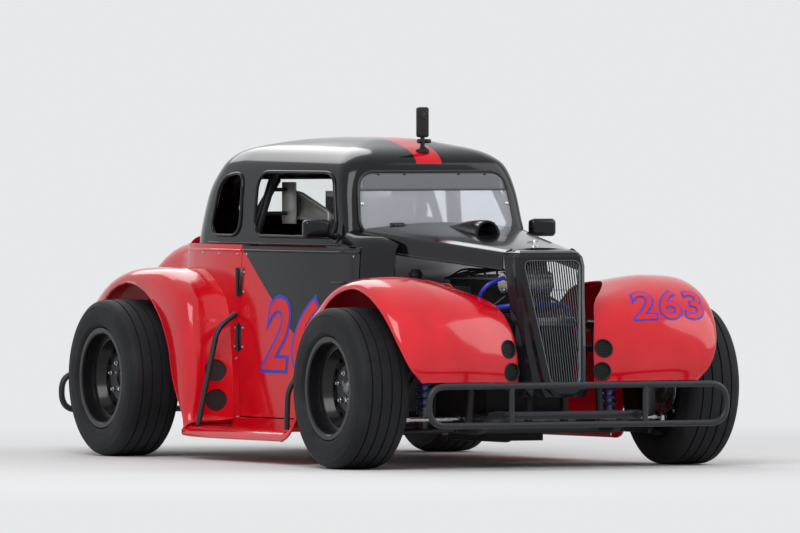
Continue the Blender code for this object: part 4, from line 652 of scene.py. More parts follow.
def body_rows(grow=0.0):
    return [body_section(*row, grow=grow) for row in curve_rows(BODY_FRONT, 3) + curve_rows(BODY_REAR, 3)]


def block(low, high):
    return loose(box_bm(low, high))


BODY_MIDDLE = (0, 0.5, 0.3)
DOOR_FRONT, DOOR_BACK, DOOR_LOW = -0.429, 0.370, 0.149
GAP = 0.005
HOOD_BACK, HOOD_FRONT, NOSE_END = -0.3475, -1.108, -1.158
HOOD_HALF, HOOD_EDGE, HOOD_FOOT, HOOD_CROWN = (0.319, 0.148), (0.828, 0.758), (0.757, 0.693), (0.026, 0.014)


def hood_prism(gap):
    outline = [(-HOOD_HALF[0] - gap, HOOD_BACK + gap), (HOOD_HALF[0] + gap, HOOD_BACK + gap),
               (HOOD_HALF[1] + gap, NOSE_END), (-HOOD_HALF[1] - gap, NOSE_END)]
    return prism_obj(outline, "Z", 0.637, 1.0)


def body_shell():
    """Body with the openings for the cab, hood, lid, axle and doors."""
    cutters = [
        block((-0.6, -0.3105, BELT - 0.0003), (0.6, 0.900, 1.2)), hood_prism(0.016),
        block((-0.260, 0.960, 0.40), (0.260, 1.485, 0.90)),
        loose(rod_bm((-0.6, REAR_AXLE, TYRE_RADIUS), (0.6, REAR_AXLE, TYRE_RADIUS), 0.20, 48)),
    ]
    for _, side in SIDES:
        near, far = sorted((side * 0.30, side * 0.60))
        cutters.append(block((near, DOOR_FRONT, DOOR_LOW), (far, DOOR_BACK, BELT)))
    return boolean(skin(body_rows(), SKIN, BODY_MIDDLE), "DIFFERENCE", *cutters)


adopt("body_look", body_shell(), BODY_PAINT, "car", replaces="lower_body")
opening = block((0.30, DOOR_FRONT + GAP, DOOR_LOW + GAP), (0.60, DOOR_BACK - GAP, BELT - GAP))
door = boolean(skin(body_rows(), 0.016, BODY_MIDDLE), "INTERSECT", opening)
both("door", door, DOOR_PAINT, "side_door", "door")
opening = block((-0.260 + GAP, 0.960 + GAP, 0.40), (0.260 - GAP, 1.485 - GAP, 0.90))
lid = boolean(skin(body_rows(), 0.008, BODY_MIDDLE), "INTERSECT", opening)
adopt("deck_lid_look", lid, RED, "rear_lid", replaces="deck_lid")


# Fenders. Rows give the angle, then lip, crown and inner radius, then inner, crown and outer X
LIP_SHARES = ((0.45, 0.06), (0.75, 0.22), (0.93, 0.50), (1.0, 0.80), (1.0, 1.0))
INNER_SHARES = ((0.0, 1.0), (0.45, 0.38), (0.80, 0.07))
BOARD_Z, BOARD_LIP, BOARD_JOINT, BOARD_OUTER = 0.122, 0.036, -0.385, 0.640
FRONT_FENDER = (
    (0, 0.372, 0.486, 0.486, 0.34, 0.575, 0.642), (17, 0.360, 0.505, 0.503, 0.34, 0.575, 0.645),
    (27, 0.354, 0.490, 0.486, 0.33, 0.565, 0.647), (46, 0.350, 0.420, 0.412, 0.32, 0.540, 0.650),
    (66, 0.350, 0.395, 0.385, 0.31, 0.515, 0.650), (90, 0.350, 0.390, 0.368, 0.330, 0.49, 0.650),
    (108, 0.350, 0.390, 0.358, 0.275, 0.48, 0.650), (125, 0.352, 0.392, 0.360, 0.200, 0.46, 0.648),
    (140, 0.354, 0.390, 0.350, 0.168, 0.45, 0.640), (155, 0.354, 0.379, 0.325, 0.152, 0.44, 0.622),
    (167, 0.348, 0.360, 0.312, 0.150, 0.44, 0.590), (176, 0.336, 0.342, 0.305, 0.150, 0.44, 0.540),
)
REAR_FENDER = (
    (180, 0.372, 0.487, 0.527, 0.42, 0.575, 0.632), (163, 0.360, 0.493, 0.533, 0.42, 0.575, 0.634),
    (149, 0.353, 0.515, 0.546, 0.42, 0.570, 0.635), (138, 0.350, 0.500, 0.520, 0.41, 0.565, 0.635),
    (122, 0.347, 0.460, 0.470, 0.40, 0.555, 0.635), (104, 0.345, 0.412, 0.412, 0.39, 0.545, 0.634),
    (85, 0.346, 0.394, 0.385, 0.38, 0.535, 0.632), (65, 0.350, 0.402, 0.387, 0.36, 0.525, 0.628),
    (48, 0.357, 0.436, 0.412, 0.35, 0.51, 0.622), (32, 0.367, 0.500, 0.470, 0.33, 0.49, 0.612),
    (18, 0.382, 0.580, 0.550, 0.31, 0.47, 0.600), (6, 0.402, 0.665, 0.640, 0.29, 0.45, 0.586),
    (-3, 0.430, 0.730, 0.715, 0.28, 0.43, 0.570),
)


def fender_section(y, z, angle, lip, inner, inner_x, crown_x, outer_x):
    normal = Vector((0, math.cos(math.radians(angle)), math.sin(math.radians(angle))))
    points = [(inner_x + (crown_x - inner_x) * a, inner * d) for a, d in INNER_SHARES]
    points.append((crown_x, 0))
    points += [(crown_x + (outer_x - crown_x) * a, lip * d) for a, d in LIP_SHARES]
    return [Vector((x, y, z)) - normal * down for x, down in points]


def fender_rows(axle, rows):
    out = []
    for angle, lip, crown, inner, inner_x, crown_x, outer_x in rows:
        a = math.radians(angle)
        y, z = axle + crown * math.cos(a), TYRE_RADIUS + crown * math.sin(a)
        out.append(fender_section(y, z, angle, crown - lip, crown - inner, inner_x, crown_x, outer_x))
    return out


def board(y, outer, inner_x):
    return fender_section(y, BOARD_Z, 90, BOARD_LIP, 0, inner_x, outer - 0.05, outer)


def end_step(y, z, angle, inner, inner_x, crown_x, outer_x):
    """Section where a board turns up into a fender."""
    return fender_section(y, BOARD_Z + z, angle, BOARD_LIP, inner, inner_x, crown_x, outer_x)


back, front = FRONT_AXLE + 0.486, REAR_AXLE - 0.487
front_sections = [
    board(BOARD_JOINT - 0.0015, BOARD_OUTER + 0.018, 0.34), board(back + 0.030, 0.672, 0.34),
    end_step(back + 0.010, 0.010, 50, 0, 0.34, 0.60, 0.668),
    end_step(back + 0.002, 0.040, 10, 0, 0.34, 0.585, 0.650),
] + fender_rows(FRONT_AXLE, FRONT_FENDER)
rear_sections = [
    board(BOARD_JOINT, BOARD_OUTER + 0.014, 0.36), board(front - 0.045, BOARD_OUTER, 0.40),
    end_step(front - 0.016, 0.012, 130, -0.020, 0.42, 0.59, 0.638),
    end_step(front - 0.003, 0.045, 168, -0.036, 0.42, 0.58, 0.634),
] + fender_rows(REAR_AXLE, REAR_FENDER)
# Sections, a point inside, the vents' X and Z, their radius and how far they reach along Y
FENDERS = {
    "front": (front_sections, (0.45, FRONT_AXLE, TYRE_RADIUS), ((0.187, 0.420), (0.177, 0.340)), 0.030,
              (-1.35, -1.15)),
    "rear": (rear_sections, (0.45, REAR_AXLE, TYRE_RADIUS), ((0.519, 0.316), (0.519, 0.2105)), 0.040,
             (0.36, 0.52)),
}


def fender_skin(end):
    sections, middle = FENDERS[end][:2]
    return skin(dense(sections, 4, 3), SKIN, middle)


for end, (sections, _, vents, radius, reach) in FENDERS.items():
    holes = [loose(rod_bm((x, reach[0], z), (x, reach[1], z), radius, 48)) for x, z in vents]
    around = loose(grid(body_rows(0.0006), True, True))
    piece = boolean(fender_skin(end), "DIFFERENCE", around, *holes)
    bead = loose(pipe_bm([row[-1] + Vector((-0.003, 0, 0)) for row in dense(sections, 4, 3)], 0.0045, 10))
    both(end + "_fender", piece, RED, replaces=end + "_fender")
    both(end + "_fender_bead", bead, RED)


# Cab
RAKE, GLASS_BASE_Y, GLASS_BASE_Z = 0.27, -0.309, 0.815


def wall_y(z):
    return GLASS_BASE_Y + RAKE * (z - GLASS_BASE_Z)


CAB = tuple((z, wall_y(z), rear, a, b, c, d) for z, rear, a, b, c, d in (
    (BELT + 0.0003, 0.900, 0.366, 0.434, 0.040, 0.200), (0.860, 0.872, 0.357, 0.428, 0.042, 0.195),
    (0.965, 0.825, 0.349, 0.419, 0.050, 0.190), (1.045, 0.758, 0.331, 0.400, 0.070, 0.180),
)) + (
    (1.082, -0.226, 0.715, 0.300, 0.376, 0.080, 0.170), (1.110, -0.175, 0.655, 0.256, 0.340, 0.090, 0.160),
    (1.131, -0.090, 0.570, 0.180, 0.270, 0.090, 0.150), (1.147, 0.000, 0.470, 0.100, 0.170, 0.050, 0.100),
    (1.1545, 0.100, 0.350, 0.030, 0.060, 0.015, 0.030),
)


def cab_ring(z, front, rear, half_front, half_rear, front_radius, rear_radius):
    """Level ring of the cab, from the middle of the front round to the rear."""
    right = [(0, front), (half_front * 0.45, front)]
    for step in range(7):
        a = math.radians(-90 + 15 * step)
        right.append((half_front - front_radius + front_radius * math.cos(a),
                      front + front_radius + front_radius * math.sin(a)))
    start, end = front + front_radius, rear - rear_radius
    for step in range(1, 8):
        share = step / 8
        bulge = 0.010 * min(1, front_radius / 0.03) * math.sin(math.pi * share)
        right.append((half_front + (half_rear - half_front) * share + bulge, start + (end - start) * share))
    for step in range(11):
        a = math.radians(9 * step)
        right.append((half_rear - rear_radius + rear_radius * math.cos(a), end + rear_radius * math.sin(a)))
    outline = right + [(0, rear)] + [(-x, y) for x, y in reversed(right[1:])]
    return [(x, y, z) for x, y in outline]


SIDE_WINDOW = ((-0.240, 0.800), (0.335, 0.800), (0.330, 1.030), (-0.175, 1.030))
QUARTER_WINDOW = ((0.435, 0.800), (0.660, 0.800), (0.600, 1.010), (0.440, 1.030))
WINDSHIELD = ((-0.312, 0.812), (0.312, 0.812), (0.290, 1.034), (-0.290, 1.034))
REAR_WINDOW = ((-0.230, 0.870), (0.230, 0.870), (0.215, 1.005), (-0.215, 1.005))
CAB_ROWS = [cab_ring(*row) for row in curve_rows(CAB, 4)]
WINDOW_BEND, REAR_BEND = 0.065, 0.040


def cab_skin():
    return skin(CAB_ROWS, SKIN, (0, 0.3, 0.9), closed=True, top=True)


def cab_piece():
    frame_width = 0.016
    shrunk = [(a - math.copysign(frame_width, a), b + (frame_width if b < 0.9 else -frame_width))
              for a, b in WINDSHIELD]
    return boolean(
        cab_skin(), "DIFFERENCE",
        prism_obj(outline_of(SIDE_WINDOW, WINDOW_BEND), "X", -0.6, 0.6),
        prism_obj(outline_of(QUARTER_WINDOW, WINDOW_BEND), "X", -0.6, 0.6),
        prism_obj(outline_of(shrunk, WINDOW_BEND), "Y", -0.5, 0.0),
        prism_obj(outline_of(REAR_WINDOW, REAR_BEND), "Y", 0.6, 1.0),
    )


adopt("cab_look", cab_piece(), ROOF_PAINT, "car", replaces="cab_shell")


# Hood
def between(ends, share):
    return ends[0] + (ends[1] - ends[0]) * share


def hood_section(share, steps=10):
    """Section of the hood, from its rear edge at 0 to its front edge at 1."""
    half, edge, low, crown = [between(ends, share) for ends in (HOOD_HALF, HOOD_EDGE, HOOD_FOOT, HOOD_CROWN)]
    right = [(half, low), (half, (low + edge) / 2), (half, edge - 0.016), (half - 0.002, edge - 0.008),
             (half - 0.007, edge - 0.002), (half - 0.018, edge)]
    for step in range(1, steps):
        x = (half - 0.018) * (1 - step / steps)
        right.append((x, edge + crown * (1 - (x / half) ** 2)))
    y = between((HOOD_BACK, HOOD_FRONT), share)
    return [(x, y, z) for x, z in mirrored(right, [(0, edge + crown)])]


def hood_top(y):
    share = (HOOD_BACK - y) / (HOOD_BACK - HOOD_FRONT)
    return between(HOOD_EDGE, share) + between(HOOD_CROWN, share)


def hood_skin():
    return skin([hood_section(k / 8) for k in range(9)], 0.0045, (0, -0.7, 0.5))


def hood_piece():
    """Panel with the intake scoop, its mouth, and notches for the hinge."""
    rows = []
    for share in spaced(0, 1, 13):
        y = -0.700 + 0.240 * share
        height = 0.048 * (1 - 0.88 * share**1.5) + 0.006
        half, base = 0.050 * (1 - 0.25 * share), hood_top(y) - 0.006
        rows.append([(half * math.cos(a), y, base + height * math.sin(a)) for a in spaced(0, math.pi, 21)])
    scoop = loose(grid(rows, True, True))
    mouth = rod_bm((0, -0.72, hood_top(-0.70) + 0.002), (0, -0.59, hood_top(-0.59) + 0.001), 0.0425, 40, 0.0125)
    notch = [(-0.4375, 0.693), (-0.3475, 0.814), (-0.30, 0.814), (-0.30, 0.66), (-0.4375, 0.66)]
    whole = boolean(hood_skin(), "UNION", scoop)
    return boolean(whole, "DIFFERENCE", loose(mouth), prism_obj(notch, "X", -0.6, 0.6))


adopt("hood_look", hood_piece(), BLACK, "engine_hood", replaces="hood")


# Wheels
def wheel_lathe(profile, x, y, steps):
    return lathe_bm(profile, (x, y, TYRE_RADIUS), AXIS_X, steps)


def tyre_bm(x, y):
    """Tyre with moulded sides and four grooves."""
    half, bead, seat, flange = TYRE_WIDTH / 2, 0.0852, 0.1653, 0.1828
    depth = TYRE_RADIUS - flange
    right = [(bead, seat), (bead, flange)] + [(half * a, flange + depth * b) for a, b in (
        (0.93, 0.05), (0.975, 0.13), (0.985, 0.16), (0.982, 0.19), (0.997, 0.35), (1, 0.50), (0.975, 0.68),
        (0.955, 0.74), (0.965, 0.76), (0.91, 0.86), (0.84, 0.945), (0.74, 0.985),
    )]
    for centre, crown in ((0.55, 0.0006), (0.19, 0)):
        for offset, drop in ((0.03, 0), (0.022, 0.006), (-0.022, 0.006), (-0.03, 0)):
            right.append((half * (centre + offset), TYRE_RADIUS - crown - drop))
    return wheel_lathe(mirrored(right), x, y, 96)


def rim_piece(x, y, side):
    """Rim with its wells and twelve oval holes."""
    bead, seat, flange, lip, well = 0.0855, 0.165, 0.1825, 0.0925, 0.160
    profile = [
        (lip, flange - 0.002), (lip - 0.002, flange), (bead, flange - 0.001), (bead, seat), (-bead, seat),
        (-bead, flange - 0.001), (-lip + 0.002, flange), (-lip, flange - 0.002), (-lip, well), (-0.003, well),
        (0.002, 0.120), (0.002, 0.029), (0.010, 0.029), (0.010, 0.072), (0.014, 0.078), (0.014, 0.088),
        (0.011, 0.096), (0.013, 0.122), (0.028, 0.132), (0.043, 0.139), (0.046, 0.147), (0.047, 0.156),
        (0.060, well), (lip - 0.004, well + 0.001), (lip, well + 0.006),
    ]
    rim = loose(wheel_lathe([(side * a, r) for a, r in profile], x, y, 96))
    cutters = []
    for k, (across, up) in enumerate(circle(12, 0.1095)):
        bm = rod_bm((x - 0.06, 0, 0), (x + 0.08, 0, 0), 0.0085, 24)
        bmesh.ops.scale(bm, vec=(1, 1.7, 1), verts=bm.verts)
        turn = Matrix.Rotation(2 * math.pi * k / 12 + math.pi / 2, 4, "X")
        shift = Matrix.Translation((0, y + across, TYRE_RADIUS + up))
        bmesh.ops.transform(bm, matrix=shift @ turn, verts=bm.verts)
        cutters.append(loose(bm))
    return boolean(rim, "DIFFERENCE", *cutters)


for end, y in (("front", FRONT_AXLE), ("rear", REAR_AXLE)):
    for label, side in SIDES:
        name, body, x = f"{end}_{label}", f"{end}_wheel_{label}", side * WHEEL_X
        place("tyre_look_" + name, tyre_bm(x, y), RUBBER, body, 50, "tyre_" + name)
        adopt("rim_look_" + name, rim_piece(x, y, side), RIM, body, 35, "rim_" + name)
        bm = bmesh.new()
        for across, up in circle(5, 0.052, 0.25):
            spot = Vector((x + side * 0.010, y + across, TYRE_RADIUS + up))
            # Washer, nut and stud
            for reach, radius, sides, tip in ((0.004, 0.0125, 24, 0.011), (0.019, 0.0095, 6, 0.009),
                                              (0.026, 0.0055, 16, 0.005)):
                rod_bm(spot, spot + Vector((side * reach, 0, 0)), radius, sides, tip, bm)
        place("wheel_nuts_" + name, bm, STEEL, body)


# Pieces that follow a surface
def tree_of(obj):
    """Surface to drop points on, from a helper object, which is removed."""
    mesh = obj.data
    tree = BVHTree.FromPolygons([v.co.copy() for v in mesh.vertices], [list(p.vertices) for p in mesh.polygons])
    bpy.data.objects.remove(obj)
    return tree


def hug(tree, points, away, lift=0.0):
    """Points dropped on a surface from outside, then lifted off it."""
    away, out = Vector(away).normalized(), []
    for point in points:
        place_at, normal, _, _ = tree.ray_cast(Vector(point) + away * 1.5, -away)
        if place_at is not None:
            if normal.dot(away) < 0:
                normal = -normal
            out.append(place_at + normal * lift)
    return out


def tubes(name, routes, mat, body="car", replaces=None, sides=20):
    """One piece of round tubes from rows of points, radius, bend and closed."""
    bm = bmesh.new()
    for points, radius, bend, closed in routes:
        path = round_path(points, bend, closed, 8) if bend else points
        pipe_bm(path, radius, sides, closed, bm)
    return place(name, bm, mat, body, 40, replaces)


def line(start, end, radius):
    return ([start, end], radius, 0, False)


def bolts(name, spots, mat, body="car", radius=0.0045, height=0.0025):
    """Domed fasteners from pairs of place and outward direction."""
    bm = bmesh.new()
    profile = [(-0.002, 0), (-0.002, radius), (height * 0.4, radius), (height, radius * 0.55),
               (height * 1.15, 0)]
    for spot, away in spots:
        lathe_bm(profile, spot, away, 14, bm)
    return place(name, bm, mat, body, 50)


CAB_TREE, BODY_TREE, HOOD_TREE = [
    tree_of(made) for made in (cab_skin(), skin(body_rows(), SKIN, BODY_MIDDLE), hood_skin())
]


# Cab trim
for label, side in SIDES:
    away = (side, 0, 0)
    beads = []
    for window in (SIDE_WINDOW, QUARTER_WINDOW):
        path = [(0, a, b) for a, b in outline_of(window, WINDOW_BEND)]
        beads.append((hug(CAB_TREE, path, away, 0.001), 0.0065, 0, True))
    tubes("window_bead_" + label, beads, BLACK, sides=12)
    belt = [(0, -0.300 + 0.0375 * k, BELT + 0.004) for k in range(27)]
    tubes("cab_foot_bead_" + label, [(hug(CAB_TREE, belt, away, 0.0005), 0.0035, 0, False)], BLACK, sides=10)
    for name, mat, body, first, last in (
        ("door_belt_bead_", DOOR_PAINT, "side_door_" + label, -0.421, 0.362),
        ("body_belt_bead_", RED, "car", 0.374, 0.870),
    ):
        belt = [(0, y, 0.748) for y in spaced(first, last, 21)]
        tubes(name + label, [(hug(BODY_TREE, belt, away), 0.0045, 0, False)], mat, body, sides=10)
gasket = [(a, wall_y(b) - 0.004, b) for a, b in outline_of(WINDSHIELD, WINDOW_BEND, 10)]
rear_seal = [(a, 0, b) for a, b in outline_of(REAR_WINDOW, REAR_BEND)]
for name, path in (("windshield_seal", gasket), ("rear_window_seal", hug(CAB_TREE, rear_seal, AXIS_Y, 0.001))):
    tubes(name, [(path, 0.0055, 0, True)], TRIM, sides=12)
strip = []
for k, z in enumerate(spaced(0.966, 1.028, 7)):
    half = 0.291 if k < 5 else 0.287 - 0.016 * (k - 4)
    strip.append([(x, wall_y(z) - 0.0052, z) for x in spaced(-half, half, 25)])
place("sun_strip", grid(strip), FILM, "car").modifiers.new("film", "SOLIDIFY").thickness = 0.0004
for name, mat, places, z in (
    ("sun_strip_screws", SATIN, (-0.212, -0.108, 0.108, 0.212), 1.026),
    ("windshield_bolts", STEEL, (-0.288, 0.288), 0.92),
):
    bolts(name, [((x, wall_y(z) - 0.005, z), (0, -1, RAKE)) for x in places], mat, radius=0.006, height=0.003)

# Doors
for label, side in SIDES:
    away = Vector((side, 0, 0))
    body = "side_door_" + label
    barrels = [line(*sided(side, (0.462, 0.375, low), (0.462, 0.375, high)), 0.0065)
               for low, high in ((0.583, 0.686), (0.386, 0.486))]
    tubes("hinge_barrel_" + label, barrels, SATIN, body, sides=14)
    for name, ride, near, far in (
        ("hinge_leaf_door_", body, 0.352, 0.371), ("hinge_leaf_body_", "car", 0.379, 0.394),
    ):
        bm = bmesh.new()
        for low, high in ((0.586, 0.683), (0.389, 0.483)):
            grid([hug(BODY_TREE, [(0, y, z) for y in spaced(near, far, 5)], away, 0.0006)
                  for z in spaced(low, high, 3)], bm=bm)
        thick = place(name + label, bm, SATIN, ride).modifiers.new("leaf", "SOLIDIFY")
        thick.thickness, thick.offset = 0.003, 0
    hinge_heights = (0.600, 0.670, 0.402, 0.470)
    for name, ride, places in (
        ("door_bolts_", body, [(0.343, z) for z in hinge_heights] + [(-0.395, 0.735), (0.330, 0.735)]),
        ("body_bolts_", "car", [(0.398, z) for z in hinge_heights] + [
            (0.400, 0.735), (0.55, 0.735), (0.70, 0.735), (0.390, 0.36), (0.390, 0.150)]),
    ):
        spots = [(hug(BODY_TREE, [(0, y, z)], away, 0.0015)[0], away) for y, z in places]
        bolts(name + label, spots, STEEL, ride)
    rear, fore = hug(BODY_TREE, [(0, -0.355, 0.640), (0, -0.285, 0.640)], away)
    handle = [rear, rear + away * 0.016, fore + away * 0.016, fore]
    tubes("door_handle_" + label, [(handle, 0.0045, 0.010, False)], SATIN, body, sides=14)

# Number
DIGITS = "263"


def digits_bm(size, offset):
    """Flat plain digits in the XY plane, about the origin, cut fine enough to bend."""
    curve = bpy.data.curves.new("digits", "FONT")
    curve.body, curve.size, curve.offset = DIGITS, size, offset
    curve.shear, curve.space_character, curve.resolution_u = 0.22, 1.08, 6
    curve.align_x, curve.align_y = "CENTER", "CENTER"
    obj = bpy.data.objects.new("digits", curve)
    bpy.context.scene.collection.objects.link(obj)
    bpy.context.view_layer.update()
    mesh = bpy.data.meshes.new_from_object(obj.evaluated_get(bpy.context.evaluated_depsgraph_get()))
    bpy.data.objects.remove(obj)
    bm = bmesh.new()
    bm.from_mesh(mesh)
    step = size / 14
    for axis in range(2):
        reach = int(max(abs(v.co[axis]) for v in bm.verts) / step)
        for k in range(-reach - 1, reach + 2):
            spot, normal = Vector((0, 0, 0)), Vector((0, 0, 0))
            spot[axis], normal[axis] = k * step, 1
            whole = bm.verts[:] + bm.edges[:] + bm.faces[:]
            bmesh.ops.bisect_plane(bm, geom=whole, plane_co=spot, plane_no=normal)
    return bm


def decal(name, tree, size, centre, away, rims, body):
    """Upright number laid on a surface along the away direction: a blue outline, and red over it."""
    away, centre = Vector(away).normalized(), Vector(centre)
    right = Vector(AXIS_Z).cross(away).normalized()
    for layer, offset, lift, mat in (
        ("outline", rims[0], 0.0008, NUMBER_BLUE), ("fill", rims[1], 0.0020, NUMBER_RED),
    ):
        bm = digits_bm(size, offset)
        for vert in list(bm.verts):
            target = centre + right * vert.co.x + Vector((0, 0, vert.co.y))
            found = hug(tree, [target], away, lift)
            if found:
                vert.co = found[0]
            else:
                bm.verts.remove(vert)
        place(name.format(layer), bm, mat, body, 60)


for label, side in SIDES:
    decal("door_number_{}_" + label, BODY_TREE, 0.36, (0, -0.085, 0.436), (side, 0, 0), (0.016, 0.004),
          "side_door_" + label)


# Bumpers, bars, cage and frame
FRAME_FRONT, FRAME_REAR, RAIL_X, RAIL_Z, KICK = -1.375, 1.300, 0.262, 0.135, 0.500
UPPER_X, WIDE_X, NOSE_Z, TUBE = 0.235, 0.385, 0.19, 0.0155


def framework(name, routes, sides):
    tubes(name + "_look", routes, SATIN, replaces=name, sides=sides)


def bumper(name, y, half, low, high, frame_y, frame_z):
    """Closed loop with two uprights and two struts to the frame."""
    corners = [(-half, y, low), (half, y, low), (half, y, high), (-half, y, high)]
    routes = [(corners, 0.0112, (high - low) * 0.48, True)]
    for _, side in SIDES:
        x = side * RAIL_X
        routes.append(line((x, y, low), (x, y, high), 0.0100))
        routes.append(line((x, y, frame_z), (x, frame_y, frame_z), 0.0090))
    framework(name, routes, 28)


front_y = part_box("front_bumper")[0][1] - SHIFT + 0.0115
bumper("front_bumper", front_y, 0.583, 0.159, 0.296, FRAME_FRONT + 0.0197, NOSE_Z)
rear_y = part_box("rear_bumper")[1][1] - SHIFT - 0.0115
bumper("rear_bumper", rear_y, 0.500, 0.145, 0.278, FRAME_REAR - 0.0037, 0.225)
for label, side in SIDES:
    for name, path in (
        ("side_bar_rear", ((0.462, 0.386, 0.520), (0.535, 0.386, 0.470), (0.612, 0.386, 0.1235))),
        ("side_bar_front", ((0.655, -0.424, 0.1256), (0.655, -0.432, 0.260), (0.622, -0.436, 0.315))),
    ):
        tubes(f"{name}_look_{label}", [(sided(side, *path), 0.0100, 0.06, False)], SATIN,
              replaces=f"{name}_{label}", sides=24)

routes = []
for _, side in SIDES:
    # Rails, rocker tubes and the upper tubes of the front
    for points, share, bend in (
        (((RAIL_X, FRAME_FRONT + 0.02, NOSE_Z), (RAIL_X, FRAME_FRONT + 0.12, NOSE_Z),
          (RAIL_X, FRAME_FRONT + 0.20, RAIL_Z), (RAIL_X, 0.627, RAIL_Z), (RAIL_X, 0.767, KICK),
          (RAIL_X, FRAME_REAR, KICK)), 1, 0.04),
        (((RAIL_X, -0.44, RAIL_Z), (0.335, -0.378, RAIL_Z), (WIDE_X, 0.10, RAIL_Z),
          (WIDE_X, 0.58, RAIL_Z), (RAIL_X, 0.62, RAIL_Z)), 0.97, 0.05),
        (((UPPER_X, FRONT_AXLE - 0.16, KICK), (UPPER_X, FRONT_AXLE + 0.14, KICK),
          (RAIL_X + 0.02, -0.44, RAIL_Z)), 0.9, 0.04),
    ):
        routes.append((sided(side, *points), TUBE * share, bend, False))
    for start, end, share in (
        ((RAIL_X, FRONT_AXLE - 0.14, RAIL_Z), (UPPER_X, FRONT_AXLE - 0.14, KICK), 0.85),
        ((RAIL_X, FRONT_AXLE + 0.14, RAIL_Z), (UPPER_X, FRONT_AXLE + 0.14, KICK), 0.85),
        ((0.241, FRONT_AXLE - 0.15, 0.415), (0.241, FRONT_AXLE + 0.15, 0.415), 0.8),
        ((RAIL_X, FRAME_REAR - 0.02, KICK), (RAIL_X, FRAME_REAR - 0.02, 0.20), 0.95),
        ((UPPER_X, FRONT_AXLE, KICK), (WIDE_X, FRONT_AXLE, KICK), 0.8),
    ):
        routes.append(line(*sided(side, start, end), TUBE * share))
for y, z, half in (
    (FRAME_FRONT + 0.05, NOSE_Z, RAIL_X), (FRONT_AXLE - 0.14, RAIL_Z, RAIL_X), (-0.44, RAIL_Z, RAIL_X),
    (0.62, RAIL_Z, 0.312), (FRAME_REAR - 0.02, KICK, RAIL_X), (REAR_AXLE + 0.07, KICK, 0.350),
):
    routes.append(line((-half, y, z), (half, y, z), TUBE * 0.93))
framework("chassis_frame", routes, 18)

foot, roof, brow, hoop_y = 0.1525, 1.070, 1.020, 0.400
hoop = [(x, hoop_y, z) for x, z in mirrored([(-WIDE_X, foot), (-WIDE_X, BELT), (-0.285, roof)])]
routes = [(hoop, TUBE, 0.07, False)]
for _, side in SIDES:
    pillar = ((0.335, -0.378, foot), (0.335, -0.300, BELT), (0.275, -0.170, brow), (0.275, hoop_y, roof))
    routes.append((sided(side, *pillar), TUBE * 0.96, 0.06, False))
    for height in (0.300, 0.460, 0.620):
        routes.append(line(*sided(side, (0.335, -0.355, height), (WIDE_X, hoop_y, height)), TUBE * 0.9))
    routes.append(line(*sided(side, (0.290, hoop_y, 1.000), (RAIL_X, 1.080, KICK + 0.0312)), TUBE * 0.92))
for y, z, half in ((-0.170, brow, 0.275), (-0.310, 0.700, 0.335), (hoop_y, 0.700, WIDE_X)):
    routes.append(line((-half, y, z), (half, y, z), TUBE * 0.88))
framework("roll_cage", routes, 18)


# Suspension
def coilover(name):
    """Damper body and coil spring in the place of a CAD coilover."""
    node_name = "coilover_" + name
    lo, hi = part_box(node_name)
    x, y, low, length = (lo[0] + hi[0]) / 2, (lo[1] + hi[1]) / 2 - SHIFT, lo[2], hi[2] - lo[2]
    profile = [(0, 0), (0, 0.013), (0.012, 0.0155)] + [(length * share, radius) for share, radius in (
        (0.16, 0.0155), (0.16, 0.0285), (0.185, 0.0285), (0.185, 0.0155), (0.55, 0.0155), (0.56, 0.007),
        (0.82, 0.007), (0.82, 0.0285), (0.845, 0.0285), (0.86, 0.013), (1, 0.013), (1, 0),
    )]
    place("damper_" + name, lathe_bm(profile, (x, y, low), AXIS_Z, 32), CAST, "car", 35)
    turns, steps = 9, 20
    coil = [(x + a, y + b) for a, b in circle(steps, 0.0235)]
    heights = spaced(low + length * 0.195, low + length * 0.81, turns * steps + 1)
    points = [(*coil[k % steps], z) for k, z in enumerate(heights)]
    place("spring_" + name, pipe_bm(points, 0.0050, 10), BLUE, "car", 60, node_name)


